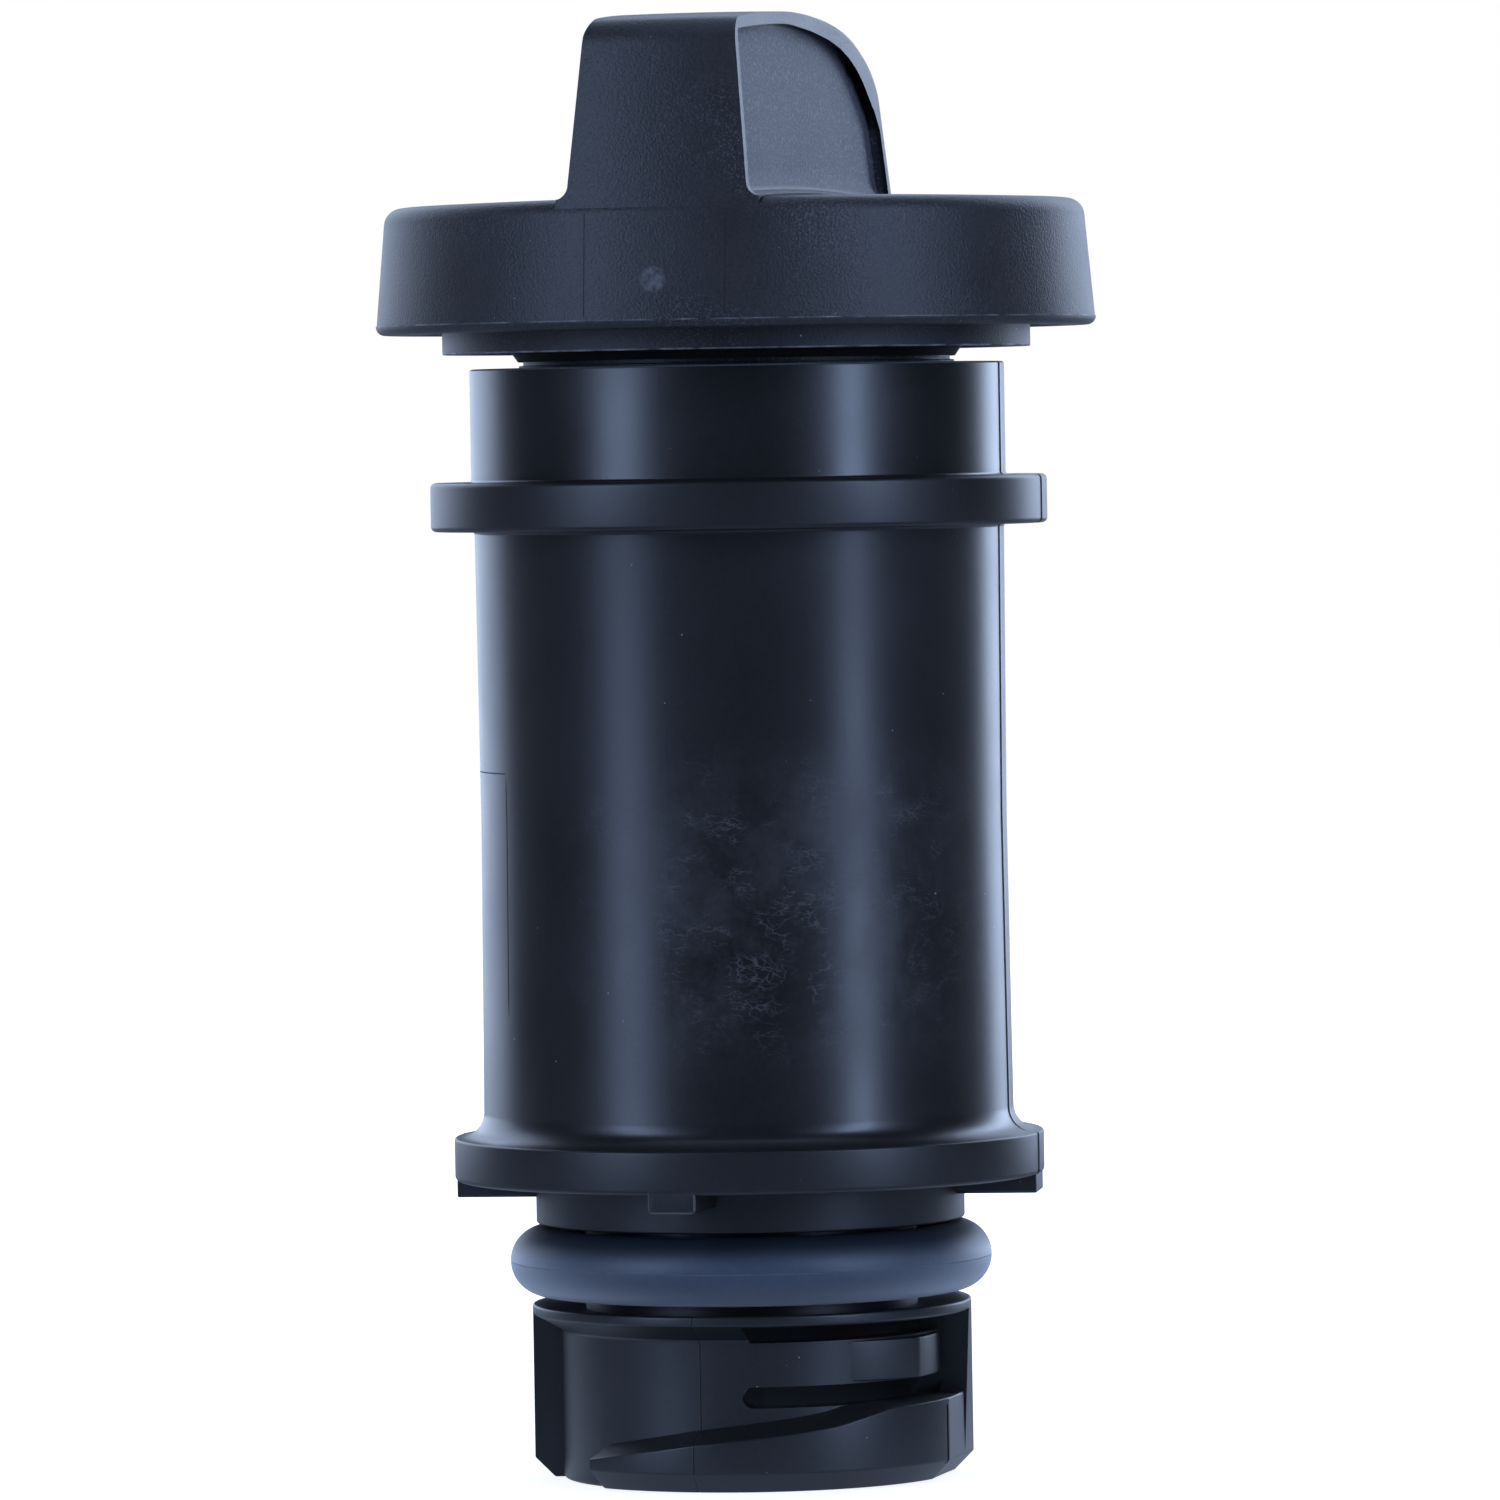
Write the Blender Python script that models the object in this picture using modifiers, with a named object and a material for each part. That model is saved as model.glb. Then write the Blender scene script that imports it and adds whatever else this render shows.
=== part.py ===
"""Oil filler cap on its plug-in filler neck.

The neck is one moulding: a thin barrel with a mounting flange at each end, a seal groove and a
twist-lock foot. The cap is a second moulding: a disc with a thumb tab, a skirt and a hollow stem
whose two lugs ride under the helical ledges inside the neck's mouth. Each has a rubber seal.
The neck stands on its foot, its axis is Z and the thumb tab lies along Y. Angles are in degrees,
counter-clockwise from the front, which is -Y.
"""

import math

import bmesh
import bpy

MM = 0.001

# Facets round the axis
STEPS = 64
SEAL_STEPS = 56
DEGREES_PER_STATION = 6
CROWN_SHARES = (0, 0.28, 0.54, 0.78)

# Clearances
RUBBER_GAP = 0.3 * MM
STEM_GAP = 0.45 * MM
LUG_GAP = 0.35 * MM
SKIRT_GAP = 0.35 * MM

# How far a hidden tool runs past a face, stops short of one, or sinks into a solid
TOOL_MARGIN = 0.1 * MM
TOOL_OVERLAP = 0.2 * MM
TOOL_REACH = 1.0 * MM

# Foot of the neck, which twists into the engine cover
FOOT_RADIUS = 17.72 * MM
RAMP_DEPTH = 2.28 * MM
FOOT_WALL = 2.14 * MM
FOOT_CHAMFER = 1.6 * MM
FOOT_HEIGHT = 13.8 * MM
RIM_UNDERCUT_HEIGHT = 11.92 * MM
RIM_EDGE_HEIGHT = 13.02 * MM
RIM_LAND = 0.6 * MM
RIM_DISH = 0.3 * MM
RIM_CHAMFER = 0.2 * MM

# Helical ramps on the foot, as (angle, height of the outer edge)
RAMP_RISE = (
    (-40, 2.22 * MM),
    (-4, 3.83 * MM),
    (25, 5.07 * MM),
    (51, 6.7 * MM),
    (74, 6.5 * MM),
    (94, 6.5 * MM),
)
RAMP_CROWN = 1.05 * MM
RAMP_TIP_SLANT = 5
STOP_START = 93
STOP_END = 103

# Spring fingers, each between two slots in the foot's wall
FINGER_BOTTOM = 8.23 * MM
FINGER_TOP = 11.8 * MM
FINGER_ROOT = 9.7
FINGER_END = 88
LOWER_SLOT_HEIGHT = 1.54 * MM
UPPER_SLOT_TOP = 12.9 * MM
SLOT_SLANT = 2.5
DETENT_RISE = ((43, -0.14 * MM), (65, 1.26 * MM), (69.5, 0.5 * MM), (87.5, 0.16 * MM))
DETENT_MARGIN = 0.15 * MM

# Seal groove above the foot
GROOVE_FLOOR_RADIUS = 13.4 * MM
GROOVE_HEIGHT = 6.83 * MM
THROAT_WALL = 1.6 * MM
ORING_SECTION = 5.5 * MM
ORING_OUTER_RADIUS = 19.44 * MM

# Shoulder and lower flange
SHOULDER_RADIUS = 17.3 * MM
SHOULDER_HEIGHT = 3.52 * MM
LOWER_FLANGE_RADIUS = 23.8 * MM
LOWER_FLANGE_THICKNESS = 3.45 * MM
LOWER_FILLET = 2.0 * MM
FLANGE_EDGE = 0.4 * MM
FLANGE_TAB_DEPTH = 1.45 * MM
FRONT_TAB_ANGLE = -2.3
FRONT_TAB_WIDTH = 3.8 * MM
SIDE_RIB_ANGLE = 96
SIDE_RIB_WIDTH = 5.6 * MM
SIDE_RIB_REACH = 23.5 * MM

# Barrel, upper flange and collar
BARREL_FOOT_RADIUS = 21.4 * MM
BARREL_WAIST_RADIUS = 21.2 * MM
BARREL_TOP_RADIUS = 21.35 * MM
BARREL_LENGTH = 46.9 * MM
BARREL_WALL = 2.0 * MM
NECK_WALL = 2.2 * MM
UPPER_FLANGE_RADIUS = 24.86 * MM
UPPER_FLANGE_THICKNESS = 3.94 * MM
COLLAR_RADIUS = 21.55 * MM
COLLAR_HEIGHT = 9.09 * MM
COLLAR_EDGE = 0.25 * MM

# Helical ledges inside the mouth, which draw the cap down
LEDGE_TOP_DEPTH = 0.93 * MM
LEDGE_THICKNESS = 2.2 * MM
LEDGE_PITCH = 0.02 * MM
LEDGE_SPAN = 140
LUG_SPAN = 30
LUG_HEIGHT = 3.0 * MM
LUG_REST_ANGLE = 60
LUG_ENGAGED = 18
MOUTH_STOP_SPAN = 6
MOUTH_STOP_ANGLE = 92
MOUTH_STOP_DEPTH = 3.4 * MM

# Cap
CAP_LIFT = 1.19 * MM
DISC_RADIUS = 29.0 * MM
DISC_TAPER = 0.9 * MM
DISC_EDGE_HEIGHT = 0.74 * MM
DISC_HEIGHT = 10.14 * MM
DISC_LOWER_ROUND = 0.8 * MM
DISC_UPPER_ROUND = 1.2 * MM
DISC_CROWN = 0.6 * MM
DISC_SKIN = 2.6 * MM
DISC_WALL = 2.3 * MM
DISC_CORE_DRAFT = 0.4 * MM
SKIRT_WALL = 1.8 * MM
SKIRT_HEIGHT = 1.64 * MM
DISC_RIBS = 16
DISC_RIB_WIDTH = 1.4 * MM
DISC_RIB_SETBACK = 0.8 * MM
STEM_RADIUS = 17.55 * MM
STEM_WALL = 2.05 * MM
STEM_LENGTH = 10.7 * MM
STEM_NECKING = 0.35 * MM
SEAL_CORE_WIDTH = 2.0 * MM

# Thumb tab
TAB_HEIGHT = 15.3 * MM
TAB_BASE_WIDTH = 14.56 * MM
TAB_DRAFT = 5
TAB_END_DRAFT = 8.5
TAB_CORNER = 4.0 * MM
TAB_CROWN = 1.0 * MM
TAB_FILLET = 1.2 * MM
TAB_ROOT = 1.5 * MM
POCKET_DEPTH = 1.05 * MM
POCKET_RIM = 1.2 * MM
TAB_CORE_WIDTH = 6.4 * MM
TAB_CORE_LENGTH = 27.0 * MM
TAB_CORE_DRAFT = 2
TAB_TOP_WALL = 3.0 * MM

# Cap gasket, a flange with a lip round the stem
GASKET_THICKNESS = 1.5 * MM
LIP_RADIUS = 18.0 * MM
LIP_EDGE_RADIUS = 17.62 * MM
LIP_DROP = 0.7 * MM
LIP_HEIGHT = 0.55 * MM

# Sizes that follow from the ones above
FOOT_WALL_RADIUS = FOOT_RADIUS - RAMP_DEPTH
FOOT_BORE = FOOT_WALL_RADIUS - FOOT_WALL
THROAT_BORE = GROOVE_FLOOR_RADIUS - THROAT_WALL
GROOVE_TOP = FOOT_HEIGHT + GROOVE_HEIGHT
FLANGE_BOTTOM = GROOVE_TOP + SHOULDER_HEIGHT
FLANGE_TOP = FLANGE_BOTTOM + LOWER_FLANGE_THICKNESS
BARREL_BOTTOM = FLANGE_TOP + LOWER_FILLET
BARREL_TOP = FLANGE_TOP + LOWER_FILLET + BARREL_LENGTH
UPPER_FLANGE_TOP = BARREL_TOP + UPPER_FLANGE_THICKNESS
NECK_TOP = UPPER_FLANGE_TOP + COLLAR_HEIGHT
BARREL_BORE = BARREL_WAIST_RADIUS - BARREL_WALL
LEDGE_TOP = NECK_TOP - LEDGE_TOP_DEPTH
LEDGE_RADIUS = STEM_RADIUS + STEM_GAP
LEDGE_THIN_ANGLE = LUG_REST_ANGLE - LUG_SPAN / 2 + LUG_ENGAGED

DISC_TOP_RADIUS = DISC_RADIUS - DISC_TAPER
SKIRT_BOTTOM = NECK_TOP + CAP_LIFT
DISC_BOTTOM = SKIRT_BOTTOM + SKIRT_HEIGHT
DISC_EDGE = DISC_BOTTOM + DISC_EDGE_HEIGHT
DISC_TOP = DISC_BOTTOM + DISC_HEIGHT
DISC_SHOULDER = DISC_TOP - DISC_UPPER_ROUND
CEILING = DISC_TOP - DISC_SKIN
SKIRT_INNER = COLLAR_RADIUS + SKIRT_GAP
SKIRT_OUTER = SKIRT_INNER + SKIRT_WALL
SEAL_SEAT = DISC_EDGE
STEM_BOTTOM = SKIRT_BOTTOM - STEM_LENGTH
STEM_BORE = STEM_RADIUS - STEM_WALL
SEAT_RADIUS = STEM_RADIUS - STEM_NECKING
TAB_TOP = DISC_TOP + TAB_HEIGHT
POCKET_FILLET = POCKET_DEPTH + TAB_FILLET
GASKET_TOP = SEAL_SEAT - RUBBER_GAP
GASKET_BOTTOM = GASKET_TOP - GASKET_THICKNESS
LIP_BOTTOM = GASKET_BOTTOM - LIP_DROP - LIP_HEIGHT
LUG_TOP = LEDGE_TOP - LEDGE_THICKNESS - LUG_GAP - (LUG_ENGAGED - LUG_SPAN / 2) * LEDGE_PITCH


def clear_scene():
    for thing in list(bpy.data.objects):
        bpy.data.objects.remove(thing, do_unlink=True)


def make_collection(name, hidden=False):
    collection = bpy.data.collections.new(name)
    collection.hide_render = hidden
    bpy.context.scene.collection.children.link(collection)
    return collection


def make_material(name, colour, roughness):
    material = bpy.data.materials.new(name)
    material.use_nodes = True
    shader = material.node_tree.nodes["Principled BSDF"]
    shader.inputs["Base Color"].default_value = (*colour, 1)
    shader.inputs["Roughness"].default_value = roughness
    shader.inputs["Metallic"].default_value = 0
    material.diffuse_color = (*colour, 1)
    return material


def make_object(name, mesh, collection, material=None):
    thing = bpy.data.objects.new(name, mesh)
    collection.objects.link(thing)
    if material:
        mesh.materials.append(material)
        mesh.shade_smooth()
        mesh.set_sharp_from_angle(angle=math.radians(35))
    else:
        thing.hide_render = True
        thing.display_type = "WIRE"
    return thing


def mesh_from(name, shape):
    bmesh.ops.recalc_face_normals(shape, faces=shape.faces)
    bmesh.ops.triangulate(shape, faces=shape.faces)
    mesh = bpy.data.meshes.new(name)
    shape.to_mesh(mesh)
    shape.free()
    return mesh


def turned(name, profile, collection, material=None, steps=STEPS, loop=True):
    """A profile of (radius, height) points, down the outer side first, turned about Z."""
    shape = bmesh.new()
    points = [shape.verts.new((radius, 0, height)) for radius, height in profile]
    for upper, lower in zip(points, points[1:]):
        shape.edges.new((upper, lower))
    if loop:
        shape.edges.new((points[-1], points[0]))
    mesh = bpy.data.meshes.new(name)
    shape.to_mesh(mesh)
    shape.free()
    thing = make_object(name, mesh, collection, material)
    screw = thing.modifiers.new("Turn", "SCREW")
    screw.axis = "Z"
    screw.angle = math.tau
    screw.steps = steps
    screw.render_steps = steps
    screw.use_merge_vertices = not loop
    screw.merge_threshold = 0.01 * MM
    screw.use_smooth_shade = True
    return thing


def arc(centre, radius, start, end, segments):
    """Points on an arc in a profile, from one angle to another in degrees."""
    angles = [math.radians(start + (end - start) * i / segments) for i in range(segments + 1)]
    return [(centre[0] + radius * math.cos(a), centre[1] + radius * math.sin(a)) for a in angles]


def at_angle(angle, radius, height):
    turn = math.radians(angle)
    return (radius * math.sin(turn), -radius * math.cos(turn), height)


def lofted(name, sections, collection):
    """A solid through rings of points that all have the same number of corners."""
    shape = bmesh.new()
    rings = [[shape.verts.new(point) for point in section] for section in sections]
    for ring, following in zip(rings, rings[1:]):
        for i, corner in enumerate(ring):
            j = (i + 1) % len(ring)
            shape.faces.new((corner, ring[j], following[j], following[i]))
    shape.faces.new(rings[0])
    shape.faces.new(rings[-1][::-1])
    return make_object(name, mesh_from(name, shape), collection)


def spaced(start, end):
    """Angles from start to end, evenly spaced by about DEGREES_PER_STATION."""
    count = max(1, round((end - start) / DEGREES_PER_STATION))
    return [start + (end - start) * i / count for i in range(count + 1)]


def swept(name, angles, section_at, collection, turn=0):
    """A section of (radius, height) points that changes with the angle, swept round Z."""
    rings = [[at_angle(angle + turn, *point) for point in section_at(angle)] for angle in angles]
    return lofted(name, rings, collection)


def extruded(name, outline, half_length, collection, drop=None):
    """An outline of (x, z) points, extruded both ways along Y. It may sink as drop says."""
    slices = 12 if drop else 1
    rings = []
    for i in range(slices + 1):
        y = half_length * (2 * i / slices - 1)
        sink = drop(y) if drop else 0
        rings.append([(x, y, z - sink) for x, z in outline])
    return lofted(name, rings, collection)


def radial_bar(name, angle, width, radii, heights, collection):
    """A bar with parallel sides that points away from the axis."""
    (near, far), (low, high) = radii, heights
    outline = [(-width / 2, low), (width / 2, low), (width / 2, high), (-width / 2, high)]
    turn = math.radians(angle)
    rings = []
    for reach in (near, far):
        ring = []
        for across, height in outline:
            x = reach * math.sin(turn) + across * math.cos(turn)
            y = -reach * math.cos(turn) + across * math.sin(turn)
            ring.append((x, y, height))
        rings.append(ring)
    return lofted(name, rings, collection)


def combine(thing, other, operation):
    """The exact solver leaves open edges where the thin cuts meet, so this takes the manifold one."""
    boolean = thing.modifiers.new(other.name, "BOOLEAN")
    boolean.operation = operation
    boolean.solver = "MANIFOLD"
    boolean.object = other


def between(stations, angle):
    """The value at an angle, on straight lines between (angle, value) stations."""
    for (start, low), (end, high) in zip(stations, stations[1:]):
        if angle <= end:
            return low + (high - low) * (angle - start) / (end - start)
    return stations[-1][1]


def neck_profile():
    outer = [
        (COLLAR_RADIUS - COLLAR_EDGE, NECK_TOP),
        (COLLAR_RADIUS, NECK_TOP - COLLAR_EDGE),
        (COLLAR_RADIUS, UPPER_FLANGE_TOP),
        (UPPER_FLANGE_RADIUS - FLANGE_EDGE, UPPER_FLANGE_TOP),
        (UPPER_FLANGE_RADIUS, UPPER_FLANGE_TOP - FLANGE_EDGE),
        (UPPER_FLANGE_RADIUS, BARREL_TOP + FLANGE_EDGE),
        (UPPER_FLANGE_RADIUS - FLANGE_EDGE, BARREL_TOP),
        (BARREL_TOP_RADIUS, BARREL_TOP),
        (BARREL_WAIST_RADIUS, (BARREL_TOP + BARREL_BOTTOM) / 2),
    ]
    fillet_centre = (BARREL_FOOT_RADIUS + LOWER_FILLET, BARREL_BOTTOM)
    outer += arc(fillet_centre, LOWER_FILLET, 180, 270, 4)
    outer += [
        (LOWER_FLANGE_RADIUS, FLANGE_TOP - FLANGE_EDGE),
        (LOWER_FLANGE_RADIUS, FLANGE_BOTTOM + FLANGE_EDGE),
        (LOWER_FLANGE_RADIUS - FLANGE_EDGE, FLANGE_BOTTOM),
        (SHOULDER_RADIUS, FLANGE_BOTTOM),
        (SHOULDER_RADIUS, GROOVE_TOP),
        (GROOVE_FLOOR_RADIUS, GROOVE_TOP),
        (GROOVE_FLOOR_RADIUS, FOOT_HEIGHT - RIM_DISH),
        (FOOT_RADIUS - RIM_CHAMFER - RIM_LAND, FOOT_HEIGHT),
        (FOOT_RADIUS - RIM_CHAMFER, FOOT_HEIGHT),
        (FOOT_RADIUS, FOOT_HEIGHT - RIM_CHAMFER),
        (FOOT_RADIUS, RIM_EDGE_HEIGHT),
        (FOOT_WALL_RADIUS, RIM_UNDERCUT_HEIGHT),
        (FOOT_WALL_RADIUS, 0),
    ]
    shoulder_bore = SHOULDER_RADIUS - NECK_WALL
    throat_top = GROOVE_TOP + THROAT_BORE - GROOVE_FLOOR_RADIUS + NECK_WALL
    funnel_top = FLANGE_TOP + BARREL_BORE - shoulder_bore
    inner = [
        (FOOT_BORE, 0),
        (FOOT_BORE, RIM_UNDERCUT_HEIGHT),
        (THROAT_BORE, RIM_UNDERCUT_HEIGHT + FOOT_BORE - THROAT_BORE),
        (THROAT_BORE, throat_top),
        (shoulder_bore, throat_top + shoulder_bore - THROAT_BORE),
        (shoulder_bore, FLANGE_TOP),
        (BARREL_BORE, funnel_top),
        (BARREL_BORE, NECK_TOP),
    ]
    return outer + inner


def ramp_section(angle):
    """Below the ledge, whose top slopes down outwards. The tip starts low and inside."""
    inside = (FOOT_BORE + FOOT_WALL_RADIUS) / 2
    edge = between(RAMP_RISE, angle)
    slope = RAMP_CROWN / (FOOT_RADIUS - FOOT_WALL_RADIUS)
    reach = FOOT_RADIUS
    if angle == RAMP_RISE[0][0]:
        reach = FOOT_RADIUS - FOOT_CHAMFER
    chamfer = min(FOOT_CHAMFER, reach - inside)
    return [
        (inside, 0),
        (reach - chamfer, 0),
        (reach, chamfer),
        (reach, edge),
        (inside, edge + slope * (reach - inside)),
    ]


def stop_section(angle):
    inside = (FOOT_BORE + FOOT_WALL_RADIUS) / 2
    top = (RIM_UNDERCUT_HEIGHT + RIM_EDGE_HEIGHT) / 2
    return [
        (inside, 0),
        (FOOT_RADIUS - FOOT_CHAMFER, 0),
        (FOOT_RADIUS, FOOT_CHAMFER),
        (FOOT_RADIUS, RIM_EDGE_HEIGHT),
        (FOOT_RADIUS - RIM_CHAMFER, FOOT_HEIGHT - RIM_CHAMFER),
        (inside, top),
    ]


def band(inner, outer, low, high):
    return [(inner, low), (outer, low), (outer, high), (inner, high)]


def lower_slot_section(angle):
    """A slot with a round end at the finger's root."""
    radius = LOWER_SLOT_HEIGHT / 2
    along = math.radians(angle - FINGER_ROOT) * FOOT_WALL_RADIUS
    into_end = max(0, radius - along) / radius
    half = max(TOOL_MARGIN, math.sqrt(1 - into_end * into_end) * radius)
    middle = FINGER_BOTTOM - radius
    return band(THROAT_BORE, FOOT_WALL_RADIUS + TOOL_MARGIN, middle - half, middle + half)


def finger_tools(turn, tag, cutters):
    """What is cut from and added to the foot for one finger, ramp and stop."""
    span = RAMP_RISE[0][0], RAMP_RISE[-1][0]
    tip = [span[0], span[0] + RAMP_TIP_SLANT]
    ramp_angles = tip + spaced(tip[1], span[1])[1:]
    ramp = swept(f"ramp_{tag}", ramp_angles, ramp_section, cutters, turn)
    stop = swept(f"stop_{tag}", spaced(STOP_START, STOP_END), stop_section, cutters, turn)

    slot_radius_angle = math.degrees(LOWER_SLOT_HEIGHT / 2 / FOOT_WALL_RADIUS)
    quarter = [math.radians(90 * i / 4) for i in range(4)]
    round_end = [FINGER_ROOT + slot_radius_angle * (1 - math.cos(turned_by)) for turned_by in quarter]
    slot_angles = round_end + spaced(FINGER_ROOT + slot_radius_angle, STOP_START)
    lower = swept(f"lower_slot_{tag}", slot_angles, lower_slot_section, cutters, turn)

    def upper_section(angle):
        low = FINGER_TOP if angle > FINGER_ROOT else UPPER_SLOT_TOP - TOOL_OVERLAP
        return band(THROAT_BORE, FOOT_RADIUS + TOOL_REACH, low, UPPER_SLOT_TOP)

    upper_angles = [FINGER_ROOT, FINGER_ROOT + SLOT_SLANT]
    upper_angles += spaced(FINGER_ROOT + SLOT_SLANT, STOP_START)[1:]
    upper = swept(f"upper_slot_{tag}", upper_angles, upper_section, cutters, turn)

    def gap_section(angle):
        low, high = FINGER_BOTTOM - LOWER_SLOT_HEIGHT / 2, UPPER_SLOT_TOP - TOOL_OVERLAP
        return band(THROAT_BORE, FOOT_WALL_RADIUS + TOOL_MARGIN, low, high)

    gap = swept(f"finger_gap_{tag}", [FINGER_END, STOP_START], gap_section, cutters, turn)

    def detent_section(angle):
        inside = (FOOT_BORE + FOOT_WALL_RADIUS) / 2
        low, high = FINGER_BOTTOM + DETENT_MARGIN, FINGER_TOP - DETENT_MARGIN
        return band(inside, FOOT_WALL_RADIUS + between(DETENT_RISE, angle), low, high)

    detent_angles = [angle for angle, _ in DETENT_RISE]
    detent = swept(f"detent_{tag}", detent_angles, detent_section, cutters, turn)
    return [ramp, stop], [lower, upper, gap], [detent]


def flange_tools(turn, tag, cutters):
    heights = (FLANGE_BOTTOM - FLANGE_TAB_DEPTH, FLANGE_BOTTOM + FLANGE_EDGE)
    inside = SHOULDER_RADIUS - NECK_WALL / 2
    flush = math.sqrt(LOWER_FLANGE_RADIUS**2 - (FRONT_TAB_WIDTH / 2) ** 2)
    angle = FRONT_TAB_ANGLE + turn
    tab = radial_bar(f"tab_{tag}", angle, FRONT_TAB_WIDTH, (inside, flush), heights, cutters)
    reach = (inside, SIDE_RIB_REACH)
    rib = radial_bar(f"rib_{tag}", SIDE_RIB_ANGLE + turn, SIDE_RIB_WIDTH, reach, heights, cutters)
    return [tab, rib]


def ledge_section(angle):
    """Inside the mouth, with an underside that drops clockwise."""
    low = LEDGE_TOP - LEDGE_THICKNESS + LEDGE_PITCH * (angle - LEDGE_THIN_ANGLE)
    return band(LEDGE_RADIUS, BARREL_BORE + BARREL_WALL / 2, low, LEDGE_TOP)


def mouth_stop_section(angle):
    top = ledge_section(angle)[0][1] + TOOL_OVERLAP
    return band(LEDGE_RADIUS, BARREL_BORE + BARREL_WALL / 2, top - MOUTH_STOP_DEPTH, top)


def mouth_tools(turn, tag, cutters):
    angles = spaced(LEDGE_THIN_ANGLE - LEDGE_SPAN, LEDGE_THIN_ANGLE)
    ledge = swept(f"ledge_{tag}", angles, ledge_section, cutters, turn)
    end = LEDGE_THIN_ANGLE - MOUTH_STOP_ANGLE
    stop = swept(f"mouth_stop_{tag}", [end - MOUTH_STOP_SPAN, end], mouth_stop_section, cutters, turn)
    return [ledge, stop]


def make_neck(parts, cutters, material):
    neck = turned("filler_neck", neck_profile(), parts, material)
    for turn, tag in ((0, "front"), (180, "back")):
        grown, cut, detents = finger_tools(turn, tag, cutters)
        for tool in grown:
            combine(neck, tool, "UNION")
        for tool in cut:
            combine(neck, tool, "DIFFERENCE")
        for tool in detents + flange_tools(turn, tag, cutters) + mouth_tools(turn, tag, cutters):
            combine(neck, tool, "UNION")
    return neck


def make_oring(parts, material):
    half = ORING_SECTION / 2
    centre = (ORING_OUTER_RADIUS - half, GROOVE_TOP - RUBBER_GAP - half)
    ring = arc(centre, half, 90, -270, 14)[:-1]
    return turned("neck_o_ring", ring, parts, material, SEAL_STEPS)


def disc_crown(radius):
    return DISC_CROWN * (1 - (radius / DISC_TOP_RADIUS) ** 2)


def cap_profile():
    flat_radius = DISC_TOP_RADIUS - DISC_UPPER_ROUND
    crown = [flat_radius * share for share in CROWN_SHARES]
    core_inner = SEAT_RADIUS + SEAL_CORE_WIDTH
    core_outer = core_inner + SEAL_CORE_WIDTH
    seat_groove_bottom = LIP_BOTTOM - RUBBER_GAP
    return [
        *((radius, DISC_TOP + disc_crown(radius)) for radius in crown),
        *arc((flat_radius, DISC_SHOULDER), DISC_UPPER_ROUND, 90, 0, 3),
        *arc((DISC_RADIUS - DISC_LOWER_ROUND, DISC_EDGE), DISC_LOWER_ROUND, 0, -90, 3),
        (DISC_RADIUS - DISC_WALL, DISC_BOTTOM),
        (DISC_RADIUS - DISC_WALL - DISC_CORE_DRAFT, CEILING),
        (SKIRT_OUTER + DISC_CORE_DRAFT, CEILING),
        (SKIRT_OUTER, DISC_BOTTOM),
        (SKIRT_OUTER, SKIRT_BOTTOM),
        (SKIRT_INNER, SKIRT_BOTTOM),
        (SKIRT_INNER, SEAL_SEAT),
        (core_outer, SEAL_SEAT),
        (core_outer, CEILING),
        (core_inner, CEILING),
        (core_inner, SEAL_SEAT),
        (SEAT_RADIUS, SEAL_SEAT),
        (SEAT_RADIUS, seat_groove_bottom),
        (STEM_RADIUS, seat_groove_bottom),
        (STEM_RADIUS, STEM_BOTTOM),
        (STEM_BORE, STEM_BOTTOM),
        (STEM_BORE, CEILING),
        (0, CEILING),
    ]


def dome_profile(inset, bottom):
    """The tab's outline from the side, turned about the axis, so that its ends follow the disc."""
    draft = math.radians(TAB_END_DRAFT)
    corner = TAB_CORNER - inset
    top = TAB_TOP - inset
    end = DISC_TOP_RADIUS - inset
    corner_height = top - TAB_CROWN - corner
    crown_end = end - (corner_height - DISC_SHOULDER) * math.tan(draft) - corner / math.cos(draft)
    crown_slope = math.degrees(math.atan(2 * TAB_CROWN / crown_end))
    points = [(crown_end * share, top - TAB_CROWN * share**2) for share in CROWN_SHARES]
    points += arc((crown_end, corner_height), corner, 90 - crown_slope, TAB_END_DRAFT, 5)
    points += [(end, DISC_SHOULDER), (end - TAB_ROOT, bottom), (0, bottom)]
    return points


def drafted(half_width, draft, low, high):
    """Half an outline across the hollow, narrowing upwards, as (x, z) points."""
    taper = math.tan(math.radians(draft))
    return [(half_width + (DISC_TOP - low) * taper, low), (half_width - (high - DISC_TOP) * taper, high)]


def mirrored(half):
    return half + [(-x, z) for x, z in reversed(half)]


def filleted(half_width, fillet):
    """Across the tab, with drafted sides that flare into the disc's top."""
    taper = math.tan(math.radians(TAB_DRAFT))
    top = TAB_TOP + TOOL_REACH
    floor = DISC_TOP + DISC_CROWN
    centre = (half_width - fillet * taper + fillet, floor + fillet)
    half = [(centre[0], CEILING)]
    half += arc(centre, fillet, 270, 180, 4)
    half += [(half_width - (top - DISC_TOP) * taper, top)]
    return mirrored(half)


def crown_drop(y):
    """How far the disc's crowned top has sunk at this distance from its middle."""
    return disc_crown(0) - disc_crown(y)


def make_tab(cutters):
    outline = filleted(TAB_BASE_WIDTH / 2, TAB_FILLET)
    half_length = DISC_RADIUS + TOOL_REACH
    tab = extruded("tab", outline, half_length, cutters, crown_drop)
    dome_bottom = DISC_SHOULDER - TOOL_REACH / 2
    dome = turned("tab_dome", dome_profile(0, dome_bottom), cutters, loop=False)
    pocket_profile = dome_profile(POCKET_RIM, dome_bottom - TOOL_REACH)
    pockets = turned("tab_pockets", pocket_profile, cutters, loop=False)
    web_outline = filleted(TAB_BASE_WIDTH / 2 - POCKET_DEPTH, POCKET_FILLET)
    web = extruded("tab_web", web_outline, half_length, cutters, crown_drop)
    combine(pockets, web, "DIFFERENCE")
    combine(tab, dome, "INTERSECT")
    combine(tab, pockets, "DIFFERENCE")
    return tab


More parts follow.
